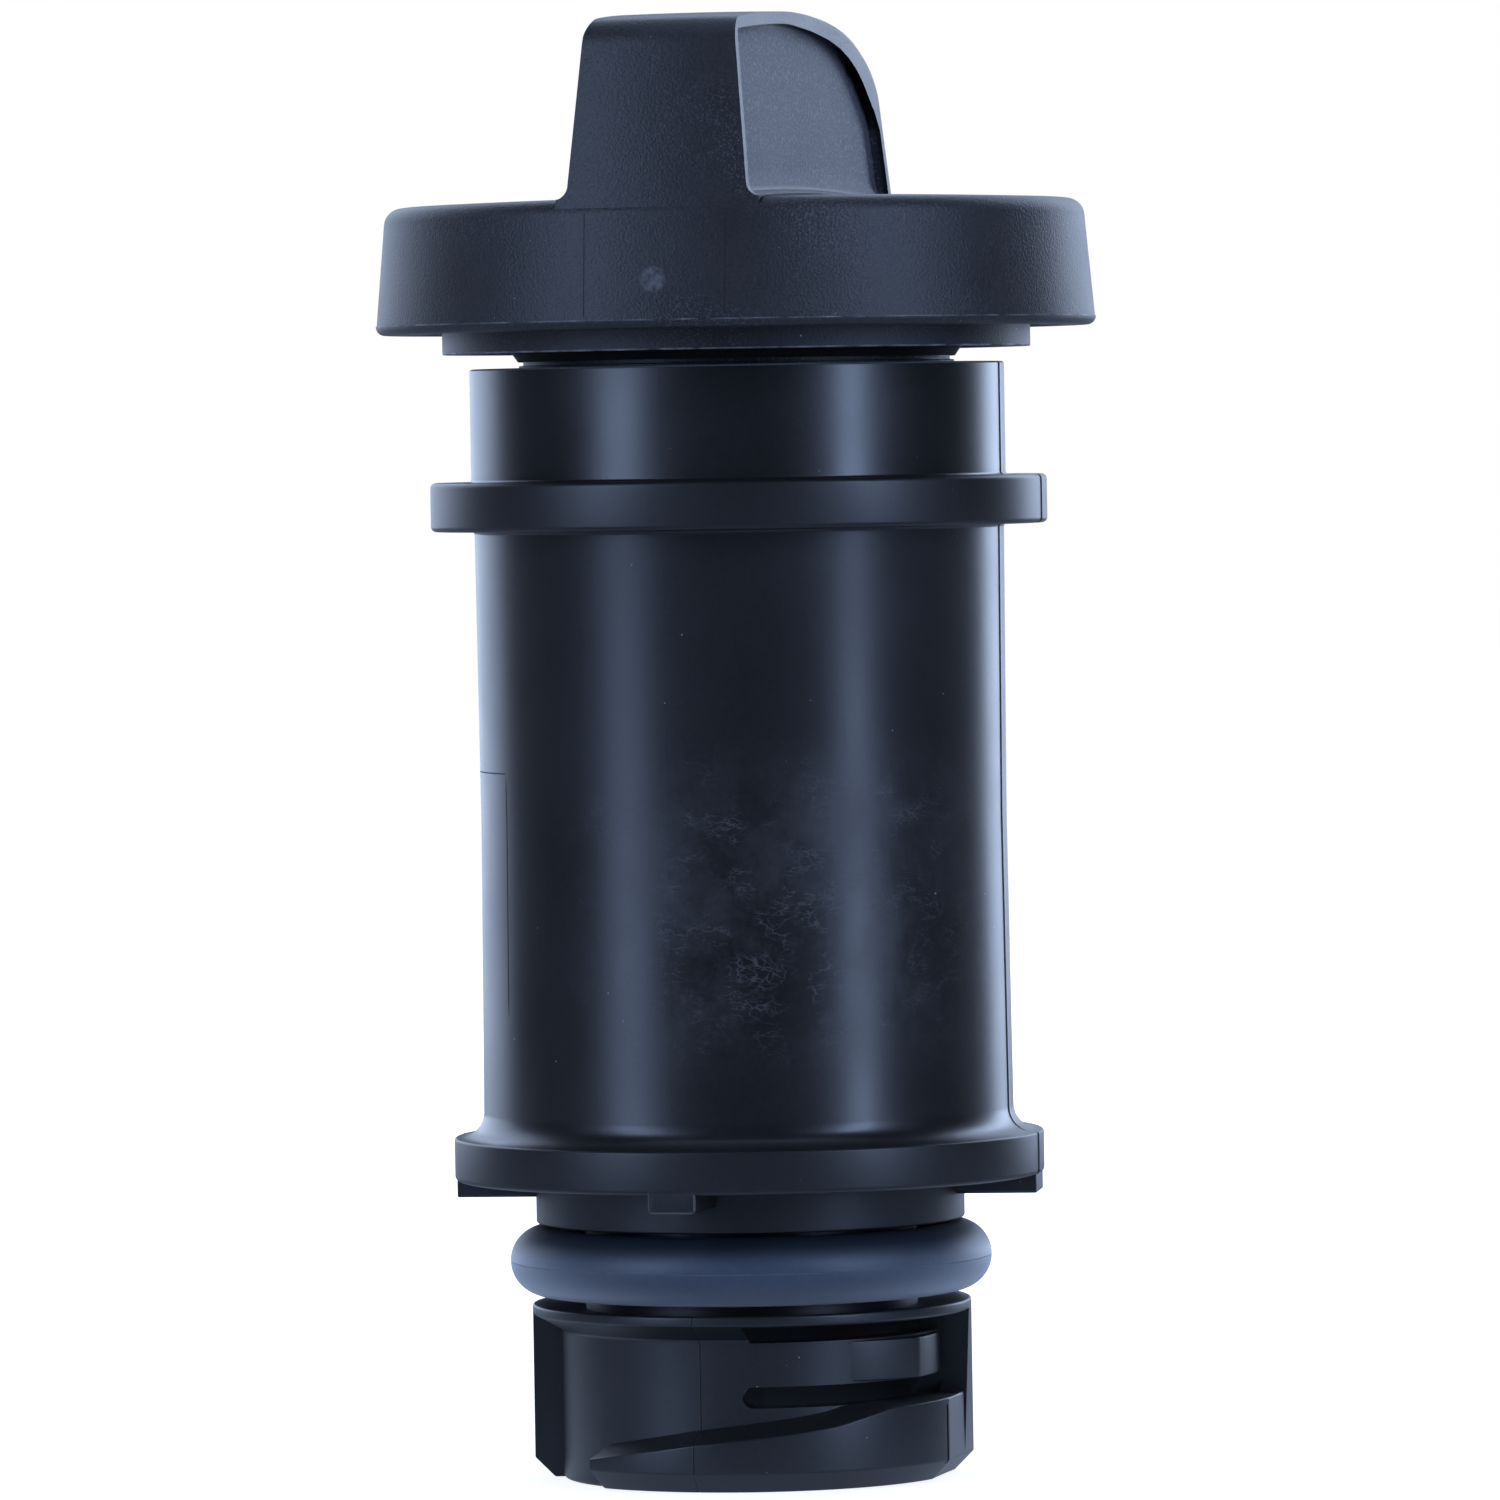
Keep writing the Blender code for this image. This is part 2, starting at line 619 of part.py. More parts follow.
def make_tab_core(cutters):
    top = TAB_TOP - TAB_CROWN - TAB_TOP_WALL
    half = drafted(TAB_CORE_WIDTH / 2, TAB_CORE_DRAFT, CEILING - TOOL_REACH, top)
    return extruded("tab_core", mirrored(half), TAB_CORE_LENGTH / 2, cutters)


def lug_section(angle):
    top = LUG_TOP + LEDGE_PITCH * (angle - LUG_REST_ANGLE)
    reach = BARREL_BORE - RUBBER_GAP
    return band(STEM_RADIUS - STEM_WALL / 2, reach, LUG_TOP - LUG_HEIGHT, top)


def make_cap(parts, cutters, material):
    cap = turned("cap_body", cap_profile(), parts, material, loop=False)
    combine(cap, make_tab(cutters), "UNION")
    combine(cap, make_tab_core(cutters), "DIFFERENCE")
    first, last = LUG_REST_ANGLE - LUG_SPAN / 2, LUG_REST_ANGLE + LUG_SPAN / 2
    for turn, tag in ((0, "front"), (180, "back")):
        lug = swept(f"lug_{tag}", spaced(first, last), lug_section, cutters, turn)
        combine(cap, lug, "UNION")
    reach = (SKIRT_OUTER - SKIRT_WALL / 2, DISC_RADIUS - DISC_WALL / 2)
    heights = (DISC_BOTTOM + DISC_RIB_SETBACK, CEILING + DISC_SKIN / 2)
    for i in range(DISC_RIBS):
        angle = 360 * (i + 0.5) / DISC_RIBS
        rib = radial_bar(f"disc_rib_{i + 1}", angle, DISC_RIB_WIDTH, reach, heights, cutters)
        combine(cap, rib, "UNION")
    return cap


def make_gasket(parts, material):
    inner = SEAT_RADIUS + RUBBER_GAP
    outer = SKIRT_INNER - RUBBER_GAP
    profile = [
        (outer, GASKET_TOP),
        (outer, GASKET_BOTTOM),
        (LIP_RADIUS + LIP_DROP, GASKET_BOTTOM),
        (LIP_RADIUS, GASKET_BOTTOM - LIP_DROP),
        (LIP_EDGE_RADIUS, LIP_BOTTOM),
        (inner, LIP_BOTTOM),
        (inner, GASKET_TOP),
    ]
    return turned("cap_gasket", profile, parts, material, SEAL_STEPS)


def build():
    clear_scene()
    parts = make_collection("oil_filler_cap")
    cutters = make_collection("cutters", hidden=True)
    neck_plastic = make_material("Neck plastic", (0.018, 0.021, 0.030), 0.38)
    cap_plastic = make_material("Cap plastic", (0.020, 0.023, 0.032), 0.50)
    black_rubber = make_material("Gasket rubber", (0.012, 0.012, 0.013), 0.60)
    blue_rubber = make_material("Seal ring rubber", (0.055, 0.085, 0.140), 0.55)
    make_neck(parts, cutters, neck_plastic)
    make_oring(parts, blue_rubber)
    make_gasket(parts, black_rubber)
    make_cap(parts, cutters, cap_plastic)


build()
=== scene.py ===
"""Looks of the oil filler cap on its filler neck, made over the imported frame.

The neck stands on its foot and its axis is Z. Angles are in degrees, counter-clockwise from the
front, which is -Y, as seen from above.
"""

import math

import bmesh
import bpy
from mathutils import Matrix, Vector


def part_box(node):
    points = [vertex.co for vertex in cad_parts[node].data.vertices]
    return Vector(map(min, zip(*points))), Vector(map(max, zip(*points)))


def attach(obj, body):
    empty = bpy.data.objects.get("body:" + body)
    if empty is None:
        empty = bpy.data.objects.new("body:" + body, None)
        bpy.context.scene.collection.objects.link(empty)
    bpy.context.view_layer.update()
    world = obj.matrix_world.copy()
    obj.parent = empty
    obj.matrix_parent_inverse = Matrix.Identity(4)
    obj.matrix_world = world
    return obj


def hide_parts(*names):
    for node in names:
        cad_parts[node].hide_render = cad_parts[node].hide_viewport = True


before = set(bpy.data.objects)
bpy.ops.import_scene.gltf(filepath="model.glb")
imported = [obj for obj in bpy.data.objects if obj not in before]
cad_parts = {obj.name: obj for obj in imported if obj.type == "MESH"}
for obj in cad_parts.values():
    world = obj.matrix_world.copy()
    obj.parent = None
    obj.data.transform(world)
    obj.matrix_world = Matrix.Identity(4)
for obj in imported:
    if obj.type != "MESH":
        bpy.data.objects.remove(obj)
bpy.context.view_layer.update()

MM = 0.001

# The camera is a long lens that looks level at the cap's disc and slightly down at the foot. It stands
# 13 degrees to the right of the thumb tab's end and is rolled, so that the object leans to the left.
CAMERA_DISTANCE = 881 * MM
CAMERA_HEIGHT = 84.6 * MM
CAMERA_ANGLE = 13
CAMERA_ROLL = 0.95
AIM_HEIGHT = 58.5 * MM
AIM_RIGHT = 0.57 * MM
VIEW_WIDTH = 121.0 * MM
SENSOR_WIDTH = 36

turn = math.radians(CAMERA_ANGLE)
roll = math.radians(CAMERA_ROLL)
view_right = Vector((math.cos(turn), math.sin(turn), 0))
stand = Vector((math.sin(turn), -math.cos(turn), 0)) * CAMERA_DISTANCE + Vector((0, 0, CAMERA_HEIGHT))
forward = (view_right * AIM_RIGHT + Vector((0, 0, AIM_HEIGHT)) - stand).normalized()
upward = view_right.cross(forward) * math.cos(roll) + view_right * math.sin(roll)
axes = Matrix((forward.cross(upward), upward, -forward)).transposed()
lens = bpy.data.cameras.new("photo_camera")
lens.sensor_width = SENSOR_WIDTH
lens.lens = SENSOR_WIDTH * CAMERA_DISTANCE / VIEW_WIDTH
camera = bpy.data.objects.new("photo_camera", lens)
camera.matrix_world = Matrix.Translation(stand) @ axes.to_4x4()
bpy.context.scene.collection.objects.link(camera)
bpy.context.scene.camera = camera

# Soft studio light: two tall softboxes in front, left and right of the camera, white panels behind the
# object at both sides, which rim its outline, one high behind it and a wide soft top light.
LIGHT_TINT = (0.63, 0.755, 1.0)
LIGHT_AIM = 60 * MM


def softbox(name, angle, distance, height, size, power):
    """A rectangular lamp at an angle round the object, counted from the camera, that faces its axis."""
    lamp = bpy.data.lights.new(name, "AREA")
    lamp.shape = "RECTANGLE"
    lamp.size, lamp.size_y = size
    lamp.energy = power
    lamp.color = LIGHT_TINT
    around = math.radians(CAMERA_ANGLE + angle)
    place = Vector((math.sin(around) * distance, -math.cos(around) * distance, height))
    look = (Vector((0, 0, LIGHT_AIM)) - place).to_track_quat("-Z", "Y")
    thing = bpy.data.objects.new(name, lamp)
    thing.matrix_world = Matrix.Translation(place) @ look.to_matrix().to_4x4()
    thing.visible_camera = False
    bpy.context.scene.collection.objects.link(thing)


# Each has its angle, distance, height, size and power
softbox("left_softbox", -51.5, 0.80, 0.31, (0.25, 0.60), 4.0)
softbox("right_softbox", 49.5, 0.80, 0.31, (0.10, 0.60), 4.3)
softbox("left_panel", -148, 0.80, 0.20, (0.68, 0.80), 4.9)
softbox("right_panel", 142, 0.80, 0.20, (0.29, 0.80), 4.8)
softbox("right_back_panel", 166, 0.80, 0.20, (0.34, 0.80), 1.3)
softbox("back_panel", 180, 0.70, 0.62, (0.90, 0.40), 2.6)
softbox("top_light", 180, 0.10, 1.10, (0.90, 0.90), 3.0)

# The surroundings are white to the camera and dim to the object, which the lamps light.
AMBIENT = 0.04
WHITE = (1, 1, 1, 1)


def add(tree, kind, inputs=(), **settings):
    """A shader node with its settings, and its inputs as values or as the sockets that feed them."""
    node = tree.nodes.new(kind)
    for name, value in settings.items():
        setattr(node, name, value)
    for name, value in dict(inputs).items():
        if isinstance(value, bpy.types.NodeSocket):
            tree.links.new(value, node.inputs[name])
        else:
            node.inputs[name].default_value = value
    return node


world = bpy.data.worlds.new("studio")
world.use_nodes = True
bpy.context.scene.world = world
sky = world.node_tree
sky.nodes.clear()
to_camera = add(sky, "ShaderNodeLightPath").outputs["Is Camera Ray"]
seen = add(sky, "ShaderNodeBackground", {"Color": WHITE}).outputs[0]
unseen = add(sky, "ShaderNodeBackground", {"Color": (*LIGHT_TINT, 1), "Strength": AMBIENT}).outputs[0]
choice = add(sky, "ShaderNodeMixShader", {0: to_camera, 1: unseen, 2: seen}).outputs[0]
add(sky, "ShaderNodeOutputWorld", {"Surface": choice})
bpy.context.scene.view_settings.view_transform = "Standard"

# A plain white floor. The camera sees it lifted to white, with the object's soft shadow left on it, and
# near the object it also glows in the gloss of the foot.
FLOOR_HALF = 3.0
FLOOR_DROP = 0.02 * MM
FLOOR_COLOUR = (0.42, 0.43, 0.44)
FLOOR_ROUGHNESS = 0.9
FLOOR_LIFT = 0.84
FLOOR_NEAR = 0.03
FLOOR_FAR = 0.14
GLOW = 0.6
GLOW_NEAR = 0.022
GLOW_FAR = 0.075


def math_node(tree, operation, first, second=0.0, third=0.0, clamp=False):
    terms = {0: first, 1: second, 2: third}
    return add(tree, "ShaderNodeMath", terms, operation=operation, use_clamp=clamp).outputs[0]


def mixed(tree, factor, first, second):
    """A colour mix, with plain colours or sockets."""
    return add(tree, "ShaderNodeMix", {0: factor, 6: first, 7: second}, data_type="RGBA").outputs[2]


def faded(tree, distance, near, far, start, end):
    """A value that goes from start to end between two distances."""
    limits = {"Value": distance, "From Min": near, "From Max": far, "To Min": start, "To Max": end}
    return add(tree, "ShaderNodeMapRange", limits).outputs[0]


def as_object(name, shape):
    mesh = bpy.data.meshes.new(name)
    shape.to_mesh(mesh)
    shape.free()
    thing = bpy.data.objects.new(name, mesh)
    bpy.context.scene.collection.objects.link(thing)
    return thing


tile = bmesh.new()
bmesh.ops.create_grid(tile, x_segments=1, y_segments=1, size=FLOOR_HALF)
bmesh.ops.translate(tile, verts=tile.verts, vec=(0, 0, -FLOOR_DROP))
floor = as_object("floor", tile)
paint = bpy.data.materials.new("White floor")
paint.use_nodes = True
ground = paint.node_tree
rays = add(ground, "ShaderNodeLightPath").outputs
spot = add(ground, "ShaderNodeTexCoord").outputs["Object"]
distance = add(ground, "ShaderNodeVectorMath", {0: spot}, operation="LENGTH").outputs["Value"]
whiteness = faded(ground, distance, FLOOR_NEAR, FLOOR_FAR, FLOOR_LIFT, 1)
lift = math_node(ground, "MULTIPLY", rays["Is Camera Ray"], whiteness)
glow = faded(ground, distance, GLOW_NEAR, GLOW_FAR, GLOW, 0)
strength = math_node(ground, "MULTIPLY_ADD", rays["Is Glossy Ray"], glow, lift)
glow_colour = mixed(ground, rays["Is Glossy Ray"], WHITE, (*LIGHT_TINT, 1))
matt = ground.nodes["Principled BSDF"].inputs
matt["Base Color"].default_value = (*FLOOR_COLOUR, 1)
matt["Roughness"].default_value = FLOOR_ROUGHNESS
matt["Specular IOR Level"].default_value = 0
ground.links.new(glow_colour, matt["Emission Color"])
ground.links.new(strength, matt["Emission Strength"])
floor.data.materials.append(paint)

# The neck is one black nylon moulding. Its barrel, flanges, collar and seal groove are turned shapes,
# and the mould's halves left a thin line of flash down each side.
STEPS = 192
FOOT_RADIUS = 17.72 * MM
FOOT_WALL_RADIUS = 15.44 * MM
FOOT_BORE = 13.3 * MM
FOOT_CHAMFER = 1.6 * MM
FOOT_HEIGHT = 14.1 * MM
RIM_UNDERCUT = 12.05 * MM
RIM_EDGE = 13.35 * MM
RIM_LAND = 0.6 * MM
RIM_DISH = 0.4 * MM
RIM_ROUND = 0.2 * MM
GROOVE_FLOOR = 13.4 * MM
GROOVE_TOP = 20.63 * MM
THROAT_BORE = 11.8 * MM
SHOULDER_RADIUS = 17.3 * MM
SHOULDER_BORE = 15.1 * MM
FLANGE_BOTTOM = 24.15 * MM
FLANGE_TOP = 27.6 * MM
LOWER_FLANGE = 23.8 * MM
LOWER_FILLET = 2.0 * MM
BARREL_FOOT = 21.4 * MM
BARREL_WAIST = 21.2 * MM
BARREL_TOP_RADIUS = 21.35 * MM
BARREL_BORE = 19.2 * MM
WAIST_HEIGHT = 53.05 * MM
BARREL_TOP = 76.5 * MM
UPPER_FLANGE = 24.86 * MM
UPPER_FLANGE_TOP = 80.44 * MM
COLLAR_RADIUS = 21.55 * MM
NECK_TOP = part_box("filler_neck")[1][2]
SEAM_HALF_WIDTH = 0.10 * MM
SEAM_HEIGHT = 0.09 * MM
SEAM_INSIDE = BARREL_WAIST - 0.1 * MM
WELD = 0.001 * MM


def rounded(shape, items, offset, segments=8, affect="EDGES"):
    bmesh.ops.bevel(
        shape,
        geom=items,
        offset=offset,
        segments=segments,
        profile=0.5,
        affect=affect,
        material=-1,
    )


def outline(corners, closed=True):
    """Edges in the X-Z plane through corners of (radius, height, rounding)."""
    shape = bmesh.new()
    points = [shape.verts.new((radius, 0, height)) for radius, height, _ in corners]
    for start, end in zip(points, points[1:]):
        shape.edges.new((start, end))
    if closed:
        shape.edges.new((points[-1], points[0]))
    for point, (_, _, rounding) in zip(points, corners):
        if rounding:
            rounded(shape, [point], rounding, affect="VERTICES")
    return shape


def spun(shape, angle, steps):
    """Spins everything in the shape about Z, by an angle in degrees."""
    bmesh.ops.spin(
        shape,
        geom=shape.verts[:] + shape.edges[:] + shape.faces[:],
        cent=(0, 0, 0),
        axis=(0, 0, 1),
        dvec=(0, 0, 0),
        angle=math.radians(angle),
        steps=steps,
        use_merge=angle == 360,
    )
    bmesh.ops.remove_doubles(shape, verts=shape.verts, dist=WELD)
    bmesh.ops.recalc_face_normals(shape, faces=shape.faces)
    return shape


def turned(corners, closed=True):
    return spun(outline(corners, closed), 360, STEPS)


def turned_by(shape, angle):
    about_axis = Matrix.Rotation(math.radians(angle), 3, "Z")
    bmesh.ops.rotate(shape, cent=(0, 0, 0), matrix=about_axis, verts=shape.verts)
    return shape


def arc_block(corners, start, end, degrees_per_step=1.5):
    """A solid with this section, from one angle to another round the axis."""
    shape = outline(corners)
    bmesh.ops.contextual_create(shape, geom=shape.edges[:])
    turned_by(shape, start - 90)
    return spun(shape, end - start, max(1, round((end - start) / degrees_per_step)))


def angle_of(point):
    return math.degrees(math.atan2(point.x, -point.y))


def shift_radius(point, change):
    """Moves a point away from the axis by a distance."""
    radius = point.xy.length
    point.xy *= (radius + change) / radius


def between(stations, angle):
    """The value at an angle, on straight lines between (angle, value) stations."""
    for (start, low), (end, high) in zip(stations, stations[1:]):
        if angle <= end:
            return low + (high - low) * (angle - start) / (end - start)
    return stations[-1][1]


def raise_seam(shape, angle, low, high, inside, change=SEAM_HEIGHT):
    """A thin ridge of flash, or a groove, on the outside at this angle, between two heights."""
    round_z = math.radians(angle)
    outward = Vector((math.sin(round_z), -math.cos(round_z), 0))
    across = Vector((math.cos(round_z), math.sin(round_z), 0))
    for offset in (-SEAM_HALF_WIDTH, 0, SEAM_HALF_WIDTH):
        bmesh.ops.bisect_plane(
            shape,
            geom=shape.verts[:] + shape.edges[:] + shape.faces[:],
            dist=WELD / 2,
            plane_co=across * offset,
            plane_no=across,
        )
    for vert in shape.verts:
        on_seam = abs(vert.co.dot(across)) < 2 * WELD and vert.co.dot(outward) > inside
        if on_seam and low <= vert.co.z <= high:
            vert.co += outward * change


def combined(name, base, tools):
    """One solid from a base and (operation, shape) tools, in turn."""
    thing = as_object(name, base)
    helpers = []
    for operation, shape in tools:
        helper = as_object("helper", shape)
        boolean = thing.modifiers.new("Tool", "BOOLEAN")
        boolean.operation = operation
        boolean.solver = "MANIFOLD"
        boolean.object = helper
        helpers.append(helper)
    graph = bpy.context.evaluated_depsgraph_get()
    solid = bmesh.new()
    solid.from_mesh(bpy.data.meshes.new_from_object(thing.evaluated_get(graph)))
    for spent in helpers + [thing]:
        bpy.data.objects.remove(spent, do_unlink=True)
    bmesh.ops.remove_doubles(solid, verts=solid.verts, dist=2 * WELD)
    return solid


def finished(name, shape, body, node, material, sharp=12):
    """The object for a finished shape: smooth, with sharp edges kept, riding on its body."""
    piece = as_object(name, shape)
    piece.data.materials.clear()
    piece.data.materials.append(material)
    piece.data.shade_smooth()
    piece.data.set_sharp_from_angle(angle=math.radians(sharp))
    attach(piece, body)
    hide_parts(node)
    return piece


neck = turned([
    (COLLAR_RADIUS, NECK_TOP, 0.22 * MM),
    (COLLAR_RADIUS, UPPER_FLANGE_TOP, 0.25 * MM),
    (UPPER_FLANGE, UPPER_FLANGE_TOP, 0.45 * MM),
    (UPPER_FLANGE, BARREL_TOP, 0.45 * MM),
    (BARREL_TOP_RADIUS, BARREL_TOP, 0.3 * MM),
    (BARREL_WAIST, WAIST_HEIGHT, 0),
    (BARREL_FOOT, FLANGE_TOP, LOWER_FILLET),
    (LOWER_FLANGE, FLANGE_TOP, 0.19 * MM),
    (LOWER_FLANGE, FLANGE_BOTTOM, 0.4 * MM),
    (SHOULDER_RADIUS, FLANGE_BOTTOM, 0.2 * MM),
    (SHOULDER_RADIUS, GROOVE_TOP, 0.2 * MM),
    (GROOVE_FLOOR, GROOVE_TOP, 0),
    (GROOVE_FLOOR, FOOT_HEIGHT - RIM_DISH, 0),
    (FOOT_RADIUS - RIM_ROUND - RIM_LAND, FOOT_HEIGHT, 0.1 * MM),
    (FOOT_RADIUS, FOOT_HEIGHT, RIM_ROUND),
    (FOOT_RADIUS, RIM_EDGE, 0.12 * MM),
    (FOOT_WALL_RADIUS, RIM_UNDERCUT, 0.2 * MM),
    (FOOT_WALL_RADIUS, 0, 0.35 * MM),
    (FOOT_BORE, 0, 0.3 * MM),
    (FOOT_BORE, RIM_UNDERCUT, 0.3 * MM),
    (THROAT_BORE, RIM_UNDERCUT + FOOT_BORE - THROAT_BORE, 0.3 * MM),
    (THROAT_BORE, GROOVE_TOP, 0.3 * MM),
    (SHOULDER_BORE, GROOVE_TOP + SHOULDER_BORE - THROAT_BORE, 0.3 * MM),
    (SHOULDER_BORE, FLANGE_TOP, 0.3 * MM),
    (BARREL_BORE, FLANGE_TOP + BARREL_BORE - SHOULDER_BORE, 0.5 * MM),
    (BARREL_BORE, NECK_TOP, 0.25 * MM),
])
for side in (90, 270):
    raise_seam(neck, side, FLANGE_BOTTOM, NECK_TOP, SEAM_INSIDE)

# The twist-lock foot is part of the same moulding. Each half has a ramp that climbs round it to a stop,
# and a spring finger with a detent bump, freed by a slot above it and one below.
RAMP_RISE = (
    (-40, 2.22 * MM),
    (-4, 3.83 * MM),
    (25, 4.75 * MM),
    (35, 5.15 * MM),
    (51, 6.3 * MM),
    (74, 6.6 * MM),
    (94, 6.6 * MM),
)
RAMP_CROWN = ((-40, 1.05 * MM), (40, 1.05 * MM), (60, 0.15 * MM), (86, 0.15 * MM), (92, 1.05 * MM))
RAMP_TIP_SLANT = 5
STOP_START = 93
STOP_END = 103
FINGER_BOTTOM = 8.3 * MM
FINGER_TOP = 11.8 * MM
FINGER_ROOT = 9.7
FINGER_END = 88.5
SLOT_HEIGHT = 1.7 * MM
SLOT_INNER_SHARE = 0.36
SLOT_ROUND = 0.35 * MM
SLOT_OUTER = FOOT_WALL_RADIUS + 0.1 * MM
UPPER_SLOT_TOP = 13.2 * MM
FINGER_GAP_TOP = UPPER_SLOT_TOP - 0.2 * MM
SLOT_SLANT = 2.5
SLOT_CENTRE = FINGER_ROOT + math.degrees(SLOT_HEIGHT / 2 / FOOT_WALL_RADIUS)
DETENT = ((41, 15.3 * MM), (65.5, 16.7 * MM), (88, 15.55 * MM))
DETENT_MARGIN = 0.15 * MM
WALL_MIDDLE = (FOOT_BORE + FOOT_WALL_RADIUS) / 2
SMALL_ROUND = 0.12 * MM
GROOVE_MARK_ANGLE = 74
GROOVE_MARK_WIDTH = 0.22 * MM
GROOVE_MARK_DEPTH = 0.3 * MM
GROOVE_MARK_LOW = 1.2 * MM
GROOVE_MARK_HIGH = 6.1 * MM
FOOT_SEAM_ANGLE = -3
FOOT_SEAM_DEPTH = 0.07 * MM
FOOT_SEAM_INSIDE = FOOT_WALL_RADIUS - 0.1 * MM
FACET_START = 75
FOOT_EDGE = [
    (WALL_MIDDLE, 0, 0),
    (FOOT_RADIUS - FOOT_CHAMFER, 0, SMALL_ROUND),
    (FOOT_RADIUS, FOOT_CHAMFER, SMALL_ROUND),
]

# How far a cutting tool reaches past what it cuts, and the limits by which corners and edges are found
TOOL_REACH = 1.0 * MM
MARGIN = 0.1 * MM
CLOSE = 0.01 * MM
CLOSE_ANGLE = 0.2
LONG_EDGE = 0.5 * MM


def radial_edges(shape, angle, height):
    """The edges that point away from the axis at this angle and height."""
    found = []
    for edge in shape.edges:
        near, far = edge.verts
        level = all(abs(v.co.z - height) < CLOSE for v in edge.verts)
        in_line = all(abs(angle_of(v.co) - angle) < CLOSE_ANGLE for v in edge.verts)
        if level and in_line and abs(near.co.xy.length - far.co.xy.length) > LONG_EDGE:
            found.append(edge)
    return found


def band(inner, outer, low, high, rounding=0):
    return [(inner, low, 0), (outer, low, rounding), (outer, high, rounding), (inner, high, 0)]


def ramp():
    start, low = RAMP_RISE[0]
    slope = (FOOT_RADIUS - WALL_MIDDLE) / (FOOT_RADIUS - FOOT_WALL_RADIUS)
    section = FOOT_EDGE + [
        (FOOT_RADIUS, low, SMALL_ROUND),
        (WALL_MIDDLE, low + slope * RAMP_CROWN[0][1], 0),
    ]
    shape = arc_block(section, start, RAMP_RISE[-1][0], 1)
    for vert in shape.verts:
        angle = angle_of(vert.co)
        share = (vert.co.xy.length - WALL_MIDDLE) / (FOOT_RADIUS - WALL_MIDDLE)
        if vert.co.z > FOOT_CHAMFER + 3 * MARGIN:
            levelled = (between(RAMP_CROWN, angle) - RAMP_CROWN[0][1]) * slope * (1 - share)
            vert.co.z += between(RAMP_RISE, angle) - low + levelled
        short = max(0, 1 - (angle - start) / RAMP_TIP_SLANT)
        shift_radius(vert.co, -FOOT_CHAMFER * short * share)
        flatten(vert, angle)
    return shape


def flatten(vert, angle):
    """Beyond the mark the outside is one flat facet as far as the stop's end."""
    half = math.radians(STOP_END - FACET_START) / 2
    off = math.radians(angle - (STOP_END + FACET_START) / 2)
    if abs(off) < half and vert.co.xy.length > FOOT_WALL_RADIUS:
        shift_radius(vert.co, FOOT_RADIUS * (math.cos(half) / math.cos(off) - 1))


def stop():
    section = FOOT_EDGE + [
        (FOOT_RADIUS, RIM_EDGE, 0),
        (FOOT_RADIUS - RIM_ROUND, FOOT_HEIGHT - RIM_ROUND, 0),
        (WALL_MIDDLE, (RIM_UNDERCUT + RIM_EDGE) / 2, 0),
    ]
    shape = arc_block(section, STOP_START, STOP_END)
    for vert in shape.verts:
        if vert.co.z < RAMP_RISE[-1][1] + MARGIN:
            flatten(vert, angle_of(vert.co))
    return shape


def lower_slot():
    section = band(THROAT_BORE, SLOT_OUTER, FINGER_BOTTOM - SLOT_HEIGHT, FINGER_BOTTOM)
    return arc_block(section, SLOT_CENTRE, STOP_START)


def slot_end():
    """The round end of the lower slot, which opens out towards the outside."""
    shape = bmesh.new()
    near, far = FOOT_BORE - TOOL_REACH, SLOT_OUTER
    bmesh.ops.create_cone(
        shape,
        cap_ends=True,
        segments=40,
        radius1=SLOT_HEIGHT / 2,
        radius2=SLOT_HEIGHT * SLOT_INNER_SHARE,
        depth=far - near,
        matrix=Matrix.Rotation(-math.pi / 2, 4, "X"),
    )
    middle = (0, -(near + far) / 2, FINGER_BOTTOM - SLOT_HEIGHT / 2)
    bmesh.ops.translate(shape, verts=shape.verts, vec=middle)
    return turned_by(shape, SLOT_CENTRE)


def upper_slot():
    slanted = FINGER_ROOT + SLOT_SLANT
    section = band(THROAT_BORE, FOOT_RADIUS + TOOL_REACH, FINGER_TOP, UPPER_SLOT_TOP)
    shape = arc_block(section, FINGER_ROOT, STOP_START)
    for vert in shape.verts:
        if vert.co.z < FINGER_TOP + MARGIN and angle_of(vert.co) < slanted:
            vert.co = Matrix.Rotation(math.radians(slanted - angle_of(vert.co)), 3, "Z") @ vert.co
    rounded(shape, radial_edges(shape, slanted, FINGER_TOP), SLOT_ROUND)
    return shape


def finger_gap():
    section = band(THROAT_BORE, SLOT_OUTER, FINGER_BOTTOM - SLOT_HEIGHT / 2, FINGER_GAP_TOP)
    return arc_block(section, FINGER_END, STOP_START)


def detent():
    low, high = FINGER_BOTTOM + DETENT_MARGIN, FINGER_TOP - DETENT_MARGIN
    start, reach = DETENT[0]
    shape = arc_block(band(WALL_MIDDLE, reach, low, high, SMALL_ROUND), start, DETENT[-1][0], 1)
    for vert in shape.verts:
        if vert.co.xy.length > WALL_MIDDLE + MARGIN:
            shift_radius(vert.co, between(DETENT, angle_of(vert.co)) - reach)
    return shape


def bar(angle, width, near, far, low, high, rounding=0, edge=0):
    """A block with parallel sides that points away from the axis, its lower and outer edges rounded."""
    shape = bmesh.new()
    bmesh.ops.create_cube(shape, size=1)
    bmesh.ops.scale(shape, verts=shape.verts, vec=(width, far - near, high - low))
    bmesh.ops.translate(shape, verts=shape.verts, vec=(0, -(near + far) / 2, (low + high) / 2))
    if rounding:
        lower = [e for e in shape.edges if all(v.co.z < low + CLOSE for v in e.verts)]
        rounded(shape, [e for e in lower if abs(e.verts[0].co.x - e.verts[1].co.x) < CLOSE], rounding)
    if edge:
        outer = [e for e in shape.edges if all(abs(v.co.y + far) < CLOSE for v in e.verts)]
        rounded(shape, [e for e in outer if min(v.co.z for v in e.verts) < high - CLOSE], edge, segments=4)
    return turned_by(shape, angle)


